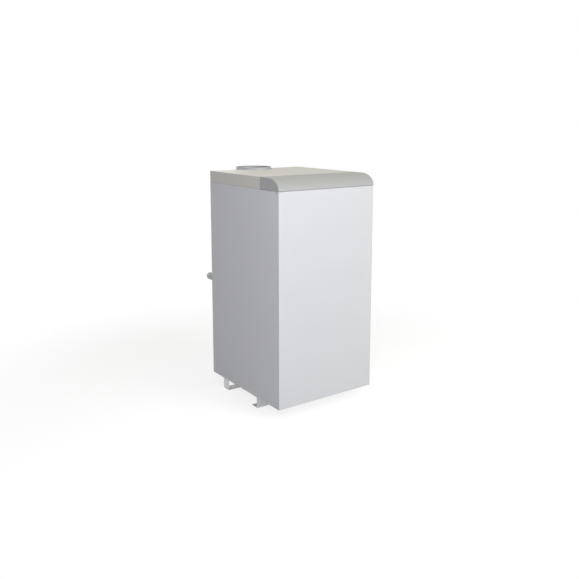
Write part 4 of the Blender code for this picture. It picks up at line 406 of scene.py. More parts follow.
def join_rings(bm, rings, loop=False):
    """Skins rings of vertices, each joined to the next, and closes the ends that stay open."""
    for low, high in zip(rings, rings[1:] + rings[:1] if loop else rings[1:]):
        for i in range(max(len(low), len(high))):
            corners = dict.fromkeys((low[i % len(low)], low[(i + 1) % len(low)],
                                     high[(i + 1) % len(high)], high[i % len(high)]))
            if len(corners) > 2:
                bm.faces.new(corners)
    for ring in () if loop else (rings[0], rings[-1]):
        if len(ring) > 2:
            bm.faces.new(ring)


def add_turned(bm, profile, centre, along, steps=32, twist=0.0):
    """Turns a profile of (radius, distance) round the axis that starts at centre, along along."""
    along, side, up = axes_along(along)
    rings = [add_ring(bm, Vector(centre) + along * distance, side, up, radius, steps, twist)
             for radius, distance in profile]
    join_rings(bm, rings, loop=min(len(rings[0]), len(rings[-1])) > 1)


def add_nut(bm, centre, along, radius, span, chamfer, steps=6, hole=0.0):
    """A nut or a round collar from one distance to another, with its far rim chamfered."""
    start, end = span
    inward, back = chamfer
    add_turned(bm, [(hole, start), (radius, start), (radius, end - back), (radius - inward, end),
                    (hole, end)], centre, along, steps)


def smooth_route(points, radius, steps):
    """The route with its corners rounded to a bend radius."""
    route = points[:1]
    for before, here, after in zip(points, points[1:], points[2:]):
        back, ahead = (before - here).normalized(), (after - here).normalized()
        half = back.angle(ahead) / 2
        reach = min(radius / math.tan(half), (before - here).length / 2,
                    (after - here).length / 2)
        start, end = here + back * reach, here + ahead * reach
        for i in range(steps + 1):
            t = i / steps
            route.append(start * (1 - t) ** 2 + here * 2 * t * (1 - t) + end * t ** 2)
    return route + points[-1:]


def add_rod(bm, route, radius, steps=12, bend=0.0, arcs=8):
    """A round rod with flat ends along a route, whose corners take a bend radius."""
    points = [Vector(p) for p in route]
    if bend:
        points = smooth_route(points, bend, arcs)
    rings = []
    side = None
    for i, point in enumerate(points):
        ahead = (points[min(i + 1, len(points) - 1)] - points[max(i - 1, 0)]).normalized()
        side = (side - ahead * side.dot(ahead) if side else ahead.orthogonal()).normalized()
        rings.append(add_ring(bm, point, side, ahead.cross(side), radius, steps))
    join_rings(bm, rings)


def add_thread(bm, centre, along, radius, pitch, depth, turns, steps=28):
    """A raised helical thread round a tube, sunk a little into it and fading out at both ends."""
    along, side, up = axes_along(along)
    sunk = radius - depth * 0.2
    rows = []
    for i in range(int(turns * steps) + 1):
        turn = i / steps
        crest = radius + depth * min(1.0, turn, turns - turn)
        angle = 2 * math.pi * turn
        ray = side * math.cos(angle) + up * math.sin(angle)
        row = ((0.0, sunk), (0.5, crest), (0.98, sunk))
        rows.append([bm.verts.new(Vector(centre) + along * pitch * (turn + share) + ray * reach)
                     for share, reach in row])
    join_rings(bm, rows)


def add_hex_screw(bm, centre, along, across=0.007, height=0.003):
    """The head of a hexagon screw: a round flange, a chamfered hexagon and a dish on top."""
    radius = across / math.sqrt(3)
    flange = ((0, 0), (1.35, 0), (1.35, 0.18), (1.1, 0.3), (0, 0.3))
    head = ((0, 0.2), (1, 0.2), (1, 0.88), (0.88, 1), (0.6, 1), (0.45, 0.8), (0, 0.8))
    for profile, steps, twist in ((flange, 20, 0.0), (head, 6, 0.3)):
        add_turned(bm, [(r * radius, h * height) for r, h in profile], centre, along, steps, twist)


def add_pan_screw(bm, centre, along, radius=0.0036, height=0.0022):
    """The head of a cross-recess pan screw."""
    profile = ((0, 0), (1, 0), (1, 0.45), (0.86, 0.8), (0.55, 1), (0.5, 0.5), (0, 0.4))
    add_turned(bm, [(r * radius, h * height) for r, h in profile], centre, along, 20)
    along, side, up = axes_along(along)
    place = Matrix((side, up, along)).transposed().to_4x4()
    place.translation = Vector(centre) + along * height * 0.68
    for turn in (0, math.pi / 2):
        add_plate(bm, place @ Matrix.Rotation(turn, 4, "Z"), radius * 0.22, radius, height * 0.66)


def add_words(bm, words, size, place):
    """Flat letters with a little thickness, laid out by the place matrix."""
    curve = bpy.data.curves.new("letters", "FONT")
    curve.body, curve.size, curve.extrude = words, size, size * 0.02
    curve.align_x, curve.align_y = "CENTER", "CENTER"
    holder = bpy.data.objects.new("letters", curve)
    mesh = bpy.data.meshes.new_from_object(holder)
    mesh.transform(place)
    bm.from_mesh(mesh)
    bpy.data.meshes.remove(mesh)
    bpy.data.objects.remove(holder)
    bpy.data.curves.remove(curve)


def on_dial(centre, angle, radius, height):
    """Place on a dial: the angle runs anticlockwise from its top, seen from above."""
    at = Matrix.Translation((centre[0], centre[1], height))
    return at @ Matrix.Rotation(angle, 4, "Z") @ Matrix.Translation((0, radius, 0))


def piece(name, bm, material, body="boiler", sharp=35.0):
    """Turns a mesh under construction into a named piece that moves with its CAD body."""
    bmesh.ops.recalc_face_normals(bm, faces=bm.faces)
    mesh = bpy.data.meshes.new(name)
    bm.to_mesh(mesh)
    bm.free()
    mesh.materials.append(material)
    mesh.shade_smooth()
    mesh.set_sharp_from_angle(angle=math.radians(sharp))
    made = bpy.data.objects.new(name, mesh)
    bpy.context.scene.collection.objects.link(made)
    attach(made, body)


def fasten(name, places, kind=add_hex_screw, **sizes):
    """One piece that holds all the screw heads at some places, which are listed by direction."""
    bm = bmesh.new()
    for along, spots in places.items():
        for spot in spots:
            kind(bm, spot, along, **sizes)
    piece(name, bm, bright_zinc())


def curve_shading():
    """Geometry nodes that shade bent faces as curves and keep edges of 30 degrees or more crisp."""
    name = "smooth below 30 degrees"
    if name in bpy.data.node_groups:
        return bpy.data.node_groups[name]
    tree = bpy.data.node_groups.new(name, "GeometryNodeTree")
    for way in ("INPUT", "OUTPUT"):
        tree.interface.new_socket("Mesh", in_out=way, socket_type="NodeSocketGeometry")
    start = add(tree, "NodeGroupInput")
    bend = add(tree, "GeometryNodeInputMeshEdgeAngle")
    crisp = add(tree, "FunctionNodeCompare", {1: math.radians(30.0)}, {0: bend},
                operation="GREATER_THAN")
    faces = add(tree, "GeometryNodeSetShadeSmooth", {"Shade Smooth": True}, {"Geometry": start},
                domain="FACE")
    edges = add(tree, "GeometryNodeSetShadeSmooth", {"Shade Smooth": False},
                {"Geometry": faces, "Selection": crisp}, domain="EDGE")
    add(tree, "NodeGroupOutput", links={0: edges})
    return tree


def dress(material, *names):
    """Gives CAD nodes their finish, through their material slots, and smooths their curves."""
    for name in names:
        node = NODES[name]
        node.data.materials.clear()
        node.data.materials.append(material)
        node.modifiers.new("curve shading", "NODES").node_group = curve_shading()
        node.modifiers.new("flat faces stay flat", "WEIGHTED_NORMAL").keep_sharp = True


# What a user may change


class BoilerCasingLook(bpy.types.PropertyGroup):
    paint: FloatVectorProperty(
        name="Casing paint", description="Powder coat of the door and the sides",
        subtype="COLOR", size=4, min=0.0, max=1.0, default=linear("#E6E6E7"))
    # The top paint's warmer tint is painted warm light from above, and it tints the top cover's
    # sides as well as its top.
    top_paint: FloatVectorProperty(
        name="Top paint with painted warmth", description="Powder coat of the top cover, warmed by painted light from above",
        subtype="COLOR", size=4, min=0.0, max=1.0, default=linear("#E2DFD5"))
    lid: FloatVectorProperty(
        name="Lid", description="Colour of the moulded lid over the controls",
        subtype="COLOR", size=4, min=0.0, max=1.0, default=linear("#B8B8B6"))


class BoilerFastenings(bpy.types.PropertyGroup):
    screw_across: FloatProperty(
        name="Sheet screw", description="Width across the flats of the hexagon sheet screws",
        default=0.007, min=0.004, max=0.012, unit="LENGTH")
    tape_width: FloatProperty(
        name="Foil tape", description="Width of the tape over the edges of the insulation",
        default=0.022, min=0.01, max=0.05, unit="LENGTH")
    strap_width: FloatProperty(
        name="Strap", description="Width of the steel straps round the block's insulation",
        default=0.016, min=0.008, max=0.03, unit="LENGTH")


class BoilerThreads(bpy.types.PropertyGroup):
    water_pitch: FloatProperty(
        name="Water thread pitch", description="Pitch of the one inch pipe thread",
        default=0.002309, min=0.001, max=0.004, unit="LENGTH", precision=5)
    gas_pitch: FloatProperty(
        name="Gas thread pitch", description="Pitch of the three quarter inch pipe thread",
        default=0.001814, min=0.001, max=0.004, unit="LENGTH", precision=5)
    turns: IntProperty(
        name="Turns", description="Turns of thread on each pipe end", default=9, min=3, max=14)


class BoilerScales(bpy.types.PropertyGroup):
    digit_height: FloatProperty(
        name="Digits", description="Height of the numbers on the two dials",
        default=0.0040, min=0.002, max=0.006, unit="LENGTH")
    sweep: FloatProperty(
        name="Pointer sweep", description="Angle between the lowest and highest mark of a dial",
        default=math.radians(240.0), min=math.radians(90.0), max=math.radians(300.0),
        subtype="ANGLE")
    coldest: IntProperty(name="Lowest temperature", description="In degrees Celsius", default=20)
    hottest: IntProperty(name="Highest temperature", description="In degrees Celsius", default=120)
    pressure: IntProperty(
        name="Highest pressure", description="In bar", default=4, min=2, max=10)


class BoilerStudio(bpy.types.PropertyGroup):
    lens: FloatProperty(
        name="Lens", description="Focal length that frames the object as in the photograph",
        default=43.03, min=20.0, max=120.0, unit="CAMERA")
    yaw: FloatProperty(
        name="Camera turn", description="How far the camera stands round to the door's left",
        default=math.radians(35.14), subtype="ANGLE")
    pitch: FloatProperty(
        name="Camera tilt", description="How far the camera looks down",
        default=math.radians(9.13), subtype="ANGLE")
    front_power: FloatProperty(
        name="Front lamp", description="Power of the large soft lamp in front",
        default=36.4, min=0.0, unit="POWER")
    top_power: FloatProperty(
        name="Top lamp", description="Power of the large soft lamp overhead",
        default=11.9, min=0.0, unit="POWER")
    side_power: FloatProperty(
        name="Side lamp", description="Power of the soft lamp at the left",
        default=10.6, min=0.0, unit="POWER")
    fill_power: FloatProperty(
        name="Fill lamps", description="Power of each soft lamp at the right and behind",
        default=7.0, min=0.0, unit="POWER")
    sky: FloatProperty(
        name="Sky", description="Strength of the even light from all round",
        default=0.215, min=0.0)


# Stage


def seen_directly(tree):
    """1 for rays from the camera, a reflection or through glass, 0 for rays that carry light."""
    path = add(tree, "ShaderNodeLightPath").outputs
    first = add(tree, MATH, links={0: path["Is Camera Ray"], 1: path["Is Glossy Ray"]},
                operation="MAXIMUM")
    return add(tree, MATH, links={0: first, 1: path["Is Transmission Ray"]}, operation="MAXIMUM")


def floor_finish():
    """Seamless white paper: its own light lifts it to white, and the object's shadow still shows.

    Away from the object the paper fades into the white of the backdrop, so no horizon shows.
    """
    made = bpy.data.materials.new("seamless paper, white")
    made.use_nodes = True
    tree = made.node_tree
    tree.nodes.clear()
    grey, own_light, fade_start, fade_end = (0.5, 0.5, 0.5, 1.0), 0.68, 0.7, 1.5
    seen = seen_directly(tree)
    paper = add(tree, "ShaderNodeBsdfDiffuse", {"Color": grey})
    lift = add(tree, MATH, {1: own_light}, {0: seen}, operation="MULTIPLY")
    glow = add(tree, "ShaderNodeEmission", links={"Strength": lift})
    near = add(tree, "ShaderNodeAddShader", links={0: paper, 1: glow})
    at = add(tree, "ShaderNodeTexCoord").outputs["Object"]
    away = add(tree, "ShaderNodeVectorMath", links={0: at}, operation="LENGTH").outputs["Value"]
    fade = add(tree, RANGE, {"From Min": fade_start, "From Max": fade_end}, {"Value": away},
               interpolation_type="SMOOTHSTEP")
    share = add(tree, MATH, links={0: fade, 1: seen}, operation="MULTIPLY")
    white = add(tree, "ShaderNodeEmission", {"Strength": 1.0})
    both = add(tree, "ShaderNodeMixShader", links={0: share, 1: near, 2: white})
    add(tree, "ShaderNodeOutputMaterial", links={"Surface": both})
    return made


def add_lamp(name, place, aim, size, power, colour):
    lamp = bpy.data.lights.new(name, "AREA")
    lamp.shape, lamp.size, lamp.energy, lamp.color = "SQUARE", size, power, colour
    holder = bpy.data.objects.new(name, lamp)
    holder.location = place
    holder.rotation_euler = (Vector(aim) - Vector(place)).to_track_quat("-Z", "Y").to_euler()
    bpy.context.scene.collection.objects.link(holder)


class BOILER_OT_stage(bpy.types.Operator):
    """Puts down the pale floor and sets up soft lamps and the camera at the photograph's angle"""

    bl_idname = "boiler.stage"
    bl_label = "Floor, lamps and camera"

    def execute(self, context):
        studio = context.scene.boiler_studio
        bm = bmesh.new()
        bmesh.ops.create_grid(bm, x_segments=1, y_segments=1, size=8.0)
        mesh = bpy.data.meshes.new("studio_floor")
        bm.to_mesh(mesh)
        bm.free()
        mesh.materials.append(floor_finish())
        floor = bpy.data.objects.new("studio_floor", mesh)
        context.scene.collection.objects.link(floor)

        white, cool_sky = (1.0, 1.0, 1.0), (0.94, 0.955, 1.0, 1.0)
        world = bpy.data.worlds.new("studio")
        world.use_nodes = True
        tree = world.node_tree
        tree.nodes.clear()
        seen = seen_directly(tree)
        strength = add(tree, RANGE, {"To Min": studio.sky, "To Max": 1.0}, {"Value": seen})
        tint = add(tree, "ShaderNodeMix", {6: cool_sky, 7: white + (1.0,)}, {0: seen},
                   data_type="RGBA").outputs[2]
        sky = add(tree, "ShaderNodeBackground", links={"Color": tint, "Strength": strength})
        add(tree, "ShaderNodeOutputWorld", links={"Surface": sky})
        context.scene.world = world
        context.scene.view_settings.view_transform = "Standard"

        # The first three light what the photograph shows, the last two the sides it doesn't
        for name, place, aim, size, power, colour in (
            ("front", (0.7, -2.5, 1.45), (0, -0.3, 0.5), 1.6, studio.front_power,
             (0.99, 0.995, 1.0)),
            ("top", (-0.1, -0.2, 3.2), (0, 0, 0.8), 2.5, studio.top_power, (1.0, 0.95, 0.6)),
            ("side", (-1.3, -1.2, 1.25), (-0.2, -0.2, 0.6), 1.0, studio.side_power,
             (0.88, 0.89, 1.0)),
            ("right", (2.4, -0.3, 0.9), (0.2, 0, 0.5), 1.2, studio.fill_power, white),
            ("rear", (0.6, 2.5, 0.9), (0, 0.2, 0.5), 1.2, studio.fill_power, white),
        ):
            add_lamp(f"{name}_lamp", place, aim, size, power, colour)

        lens = bpy.data.cameras.new("camera")
        lens.lens, lens.sensor_width, lens.shift_y = studio.lens, 36.0, -0.1
        camera = bpy.data.objects.new("camera", lens)
        camera.location = (-1.5148, -2.2132, 1.0570)
        camera.rotation_euler = (math.pi / 2 - studio.pitch, 0, -studio.yaw)
        context.scene.collection.objects.link(camera)
        context.scene.camera = camera
        return {"FINISHED"}


# Pieces


class BOILER_OT_casing(bpy.types.Operator):
    """Paints the door, sides and top cover, the top's warmth being painted light, and adds screws,
    a seal and white seam beads that paint a highlight
    """

    bl_idname = "boiler.casing"
    bl_label = "Casing"

    def execute(self, context):
        look = context.scene.boiler_casing
        dress(powder_coat(look.paint), "front_door", "left_side_panel", "right_side_panel")
        # The top cover's warmer copy of the casing's powder coat is painted warm light from above.
        white_with_painted_warm_light = "powder-coated sheet steel, white with painted warm light"
        dress(powder_coat(look.top_paint, white_with_painted_warm_light), "top_cover")
        low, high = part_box("left_side_panel")
        top_low, top_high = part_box("top_cover")
        door_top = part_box("front_door")[1].z
        half = abs(low.x)
        from_edge, top_screw_x, above_seam = 0.0068, 0.172, 0.014
        spots = [(side * (half - from_edge), high.y, z) for side in SIDES
                 for z in (0.10, 0.30, 0.56, 0.77)]
        spots += [(side * top_screw_x, top_high.y, top_low.z + above_seam) for side in SIDES]
        across = context.scene.boiler_fastenings.screw_across
        fasten("casing_screws", {BACKWARD: spots}, across=across)

        # The white beads in the seams between the door and the side panels are a painted highlight:
        # they stand in for the light that the rounded front edges catch.
        bead, strip = bmesh.new(), bmesh.new()
        bead_radius, strip_width, lap, margin = 0.00115, 0.0012, 0.0002, 0.0005
        for side in SIDES:
            x, y = side * (half - 0.0013), low.y - 0.0010
            add_rod(bead, [(x, y, low.z + 0.004), (x, y, door_top - 0.001)], bead_radius)
            outer = side * (half - 0.0004)
            add_block(strip, (outer, top_low.y + margin, high.z - lap),
                      (outer - side * strip_width, top_high.y - margin, top_low.z + lap),
                      0.0002, 1)
        piece("door_seam_highlight_beads", bead, moulded_rubber("white", "#F4F4F4"))
        seal = moulded_rubber("light grey", TRIM_GREY)
        piece("top_cover_seal", strip, seal)
        return {"FINISHED"}


class BOILER_OT_lid(bpy.types.Operator):
    """Gives the lid over the controls its grained plastic, hinges, rubber buffers and lip"""

    bl_idname = "boiler.lid"
    bl_label = "Lid over the controls"

    def execute(self, context):
        dress(moulded_abs(context.scene.boiler_casing.lid), "console_cover")
        dress(bright_zinc(), "cover_hinge_pin")
        dress(zinc_plate(), "left_cover_hinge", "right_cover_hinge")
        low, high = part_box("console_cover")
        panel_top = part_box("control_panel")[1].z
        profile = [(0, 0), (0.0052, 0), (0.0056, 0.0012), (0.0048, 0.0034), (0.0026, 0.0042),
                   (0, 0.0043)]
        inset, wall, drop = 0.0004, 0.0014, 0.0016
        top = low.z + 0.0003
        buffers, lip = bmesh.new(), bmesh.new()
        for side in SIDES:
            spot = (side * (high.x - 0.0275), low.y + 0.012, panel_top)
            add_turned(buffers, profile, spot, UP, 24)
            outer = side * (high.x - inset)
            add_block(lip, (outer, low.y + 0.0011, low.z - drop + 0.0001),
                      (outer - side * wall, high.y - 0.002, top), 0.0004)
        add_block(lip, (low.x + inset, low.y + inset, low.z - drop),
                  (high.x - inset, low.y + inset + wall, top), 0.0004)
        piece("lid_buffers", buffers, ferrite_rubber())
        trim = moulded_rubber("light grey", TRIM_GREY)
        piece("lid_lip", lip, trim, "console_cover")
        return {"FINISHED"}


class BOILER_OT_door_inside(bpy.types.Operator):
    """Tapes the edges of the door's insulation and pins it, and finishes its magnet and hinges"""

    bl_idname = "boiler.door_inside"
    bl_label = "Inside of the door"

    def execute(self, context):
        tape = context.scene.boiler_fastenings.tape_width * 1.6
        dress(faced_wool(), "door_insulation")
        dress(zinc_plate(), "upper_door_hinge", "lower_door_hinge")
        dress(ferrite_rubber(), "door_magnet")
        low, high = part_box("door_insulation")
        bm = bmesh.new()
        strips = (
            (low.x, low.z, high.x, low.z + tape), (low.x, high.z - tape, high.x, high.z),
            (low.x, low.z, low.x + tape, high.z), (high.x - tape, low.z, high.x, high.z),
        )
        for i, (left, bottom, right, top) in enumerate(strips):
            upright = i // 2
            lift, inset = 0.00025 + 0.0001 * upright, 0.0002 * upright
            add_block(bm, (left + inset, high.y - 0.001, bottom + inset),
                      (right - inset, high.y + lift, top - inset), 0.0001, 1)
        piece("door_tape", bm, foil_tape(), "front_door")

        bm = bmesh.new()
        profile = [(0, 0.0022), (0.0016, 0.0022), (0.0018, 0.0012), (0.0045, 0.0010),
                   (0.013, 0.0004), (0.0138, 0.0006), (0.0138, 0)]
        columns, rows = 3, 4
        from_side, from_end = 0.06, 0.07
        for i in range(columns):
            x = low.x + from_side + i * (high.x - low.x - 2 * from_side) / (columns - 1)
            for j in range(rows):
                z = low.z + from_end + j * (high.z - low.z - 2 * from_end) / (rows - 1)
                add_turned(bm, profile, (x, high.y, z), BACKWARD, 28)
        piece("insulation_washers", bm, bright_zinc(), "front_door")

        # Washers on the hinges' tabs, flat beside the door's flange, fill its notches from inside
        bm = bmesh.new()
        margin, leaf, tab, thickness, radius, steps = 0.0045, 0.026, 0.002, 0.0011, 0.0072, 40
        for name in ("upper_door_hinge", "lower_door_hinge"):
            low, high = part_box(name)
            under = low.z + leaf - tab if name.startswith("upper") else high.z - leaf
            ring = [(max(radius * math.cos(a), 0.0001 - margin), radius * math.sin(a))
                    for a in (2 * math.pi * i / steps for i in range(steps))]
            for z in (under - thickness, under + tab):
                join_rings(bm, [[bm.verts.new((low.x + margin + x, low.y + margin + y, level))
                                 for x, y in ring] for level in (z, z + thickness)])
        nylon = polished_plastic("white nylon", "#F2F2F2")
        piece("hinge_washers", bm, nylon)
        return {"FINISHED"}


class BOILER_OT_steelwork(bpy.types.Operator):
    """Zinc plates the base, feet and back, and adds their screws and the cable gland's ribs"""

    bl_idname = "boiler.steelwork"
    bl_label = "Base, feet and back"

    def execute(self, context):
        dress(zinc_plate(), "base_frame", "front_left_foot", "front_right_foot",
              "rear_left_foot", "rear_right_foot", "back_panel")
        dress(glass_filled_nylon(), "cable_gland")
        low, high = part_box("back_panel")
        above_edge = 0.014
        spots = [(x, high.y, low.z + above_edge) for x in (-0.185, -0.09, 0.0, 0.09, 0.185)]
        across = context.scene.boiler_fastenings.screw_across
        fasten("back_panel_screws", {BACKWARD: spots}, across=across)
        low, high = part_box("cable_gland")
        centre = middle(low, high)
        ribs, nut_radius, nut_behind = 16, 0.0116, 0.0102
        width, length, thickness = 0.0009, 0.0084, 0.0014
        bm = bmesh.new()
        for i in range(ribs):
            place = Matrix.Translation((centre.x, high.y - nut_behind, centre.z))
            place @= Matrix.Rotation(2 * math.pi * i / ribs, 4, "Y")
            place @= Matrix.Translation((nut_radius, 0, 0))
            add_plate(bm, place, width, length, thickness)
        piece("cable_gland_ribs", bm, glass_filled_nylon())
        return {"FINISHED"}


class BOILER_OT_draught_hood(bpy.types.Operator):
    """Aluminised hood with its collar rim, beads, seams, baffle and spill thermostat"""

    bl_idname = "boiler.draught_hood"
    bl_label = "Draught hood"

    def execute(self, context):
        sheet = aluminised_sheet()
        dress(sheet, "draught_hood", "flue_collector")
        dress(bright_zinc(), "spill_thermostat")
        low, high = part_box("draught_hood")
        roof = high.z - 0.024
        radius, roll, collar_y = 0.0715, 0.0011, 0.194
        bm = bmesh.new()
        rim = [(radius - 0.0013 + roll * math.cos(a), -roll + roll * math.sin(a))
               for a in (2 * math.pi * i / 12 for i in range(12))]
        ring = [(radius, -0.0165), (radius + 0.0011, -0.0155), (radius + 0.0014, -0.0145),
                (radius + 0.0011, -0.0135), (radius, -0.0125)]
        foot = [(radius, -0.0200), (radius + 0.0012, -0.0222), (radius + 0.0060, -0.0232),
                (radius + 0.0062, -0.0240)]
        for profile in (rim, ring, foot):
            add_turned(bm, profile, (0.0, collar_y, high.z), UP, 96)
        piece("collar_rim", bm, sheet)

        bm = bmesh.new()
        bead_radius, bead_start, half_seam = 0.0016, 0.192, 0.0012
        for side in SIDES:
            x = side * high.x
            for z in (0.690, 0.765):
                add_rod(bm, [(x, bead_start, z), (x, high.y - 0.02, z)], bead_radius)
            seam = side * (high.x - 0.0006)
            add_block(bm, (seam - half_seam, high.y - 0.0136, low.z + 0.002),
                      (seam + half_seam, high.y - 0.0006, roof - 0.002), 0.0005)
        piece("hood_beads", bm, sheet)
        outside = 1.0045
        places = {(side, 0, 0): [(side * high.x * outside, high.y - 0.0071, z)
                                 for z in (0.650, 0.735, 0.820)] for side in SIDES}
        fasten("hood_screws", places, across=0.006, height=0.0026)

        # The baffle hangs on side tabs in the open bottom and turns a down draught out of it
        low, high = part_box("draught_hood")
        bm = bmesh.new()
        shelf, sheet_thickness, half = low.z + 0.004, 0.0008, high.x - 0.017
        front, rear = low.y + 0.0025, high.y - 0.015
        slope = [(front, shelf), (middle(front, rear), shelf + 0.004), (rear, shelf + 0.012),
                 (rear, shelf + 0.055)]
        outline = slope + [(y - sheet_thickness, z + sheet_thickness)
                           for y, z in reversed(slope)]
        join_rings(bm, [[bm.verts.new((x, y, z)) for y, z in outline] for x in (-half, half)])
        for side in SIDES:
            for y in (front + 0.03, rear - 0.03):
                add_block(bm, (side * (half - 0.006), y - 0.006, shelf + 0.0125),
                          (side * (high.x - 0.0012), y + 0.006, shelf + 0.0135), 0.0003, 1)
                add_block(bm, (side * half, y - 0.006, shelf + 0.001),
                          (side * (half - 0.0010), y + 0.006, shelf + 0.0135), 0.0003, 1)
        piece("hood_baffle", bm, sheet)

        low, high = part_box("spill_thermostat")
        centre = middle(low, high)
        bm = bmesh.new()
        for y in (centre.y - 0.0045, centre.y + 0.0045):
            add_block(bm, (low.x + 0.0005, y - 0.0016, centre.z - 0.0004),
                      (low.x + 0.0085, y + 0.0016, centre.z + 0.0004), 0.0003, 1)
        piece("spill_thermostat_tabs", bm, turned_brass())
        low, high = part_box("flue_collector")
        z = low.z + 0.0022
        corners = [(low.x - 0.0018, high.y - 0.006, z), (low.x - 0.0015, low.y - 0.0015, z),
                   (high.x + 0.0015, low.y - 0.0015, z), (high.x + 0.0018, high.y - 0.006, z)]
        bm = bmesh.new()
        add_rod(bm, corners, 0.0021, 10, bend=0.006, arcs=6)
        piece("collector_rope", bm, woven_gasket())
        return {"FINISHED"}


class BOILER_OT_heat_exchanger(bpy.types.Operator):
    """Cast iron sections with ribs and plugs, threaded tie rods, and strapped, taped insulation"""

    bl_idname = "boiler.heat_exchanger"
    bl_label = "Heat exchanger"

    def execute(self, context):
        fast = context.scene.boiler_fastenings
        dress(sand_cast_iron(), "front_section", "middle_section", "rear_section")
        dress(bright_zinc(), "left_tie_rod", "right_tie_rod")
        dress(faced_wool(), "block_insulation")
        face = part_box("front_section")[0].y
        ribs, plugs = bmesh.new(), bmesh.new()
        proud, sunk, half, rounding, spacing = face - 0.0035, face + 0.003, 0.0035, 0.0025, 0.042
        for i in range(5):
            x = -0.084 + spacing * i
            add_block(ribs, (x - half, proud, 0.292), (x + half, sunk, 0.528), rounding, 3)
        add_block(ribs, (-0.092, proud, 0.5265), (0.092, sunk, 0.5335), rounding, 3)
        for x, z, boss in ((0.109, 0.555, 0.019), (-0.109, 0.555, 0.019), (-0.1175, 0.1, 0.0165)):
            port, plug = (x, face, z), boss - 0.004
            add_nut(ribs, port, FORWARD, boss, (-0.002, 0.005), (0.0015, 0.0015), 36)
            add_nut(plugs, port, FORWARD, plug, (0.004, 0.0078), (plug * 0.05, 0.0006), 32)
            add_nut(plugs, port, FORWARD, plug * 0.72, (0.006, 0.0168), (plug * 0.1, 0.0013))
        piece("section_ribs", ribs, sand_cast_iron())
        piece("section_plugs", plugs, threaded_steel())
        bm = bmesh.new()
        radius, pitch, depth = 0.005, 0.0015, 0.0004
        for node in ("left_tie_rod", "right_tie_rod"):
            low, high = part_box(node)
            centre = middle(low, high)
            for y, turns in ((low.y + 0.0006, 6), (high.y - 0.0042, 2)):
                add_thread(bm, (centre.x, y, centre.z), BACKWARD, radius, pitch, depth, turns, 20)
        piece("tie_rod_threads", bm, threaded_steel())

        low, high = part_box("block_insulation")
        straps, tapes = bmesh.new(), bmesh.new()
        gap, thick, width = 0.0002, 0.0007, fast.tape_width
        for z in (low.z + 0.13, low.z + 0.39):
            bottom, top = z - fast.strap_width / 2, z + fast.strap_width / 2
            for side in SIDES:
                add_block(straps, (side * (high.x + thick), low.y + 0.002, bottom),
                          (side * (high.x - gap), high.y + thick, top), 0.0002, 1)
            add_block(straps, (low.x, high.y - gap, bottom), (high.x, high.y + thick, top),
                      0.0002, 1)
            add_block(straps, (low.x - 0.0026, -0.04, bottom - 0.003),
                      (low.x - 0.0002, -0.018, top + 0.003), 0.0008)
        for side in SIDES:
            x = side * high.x
            inner, outer = x - side * width, x + side * 0.0004
            for corner, opposite in (
                ((x, low.y - 0.0003, low.z), (inner, low.y + 0.001, high.z)),
                ((x, low.y - 0.0002, low.z), (outer, low.y + width * 1.4, high.z)),
                ((x, low.y + 0.0002, high.z - 0.001), (inner, high.y - 0.0002, high.z + 0.0003)),
            ):
                add_block(tapes, corner, opposite, 0.0001, 1)
        piece("block_straps", straps, bright_zinc())
        piece("block_tape", tapes, foil_tape())
        return {"FINISHED"}


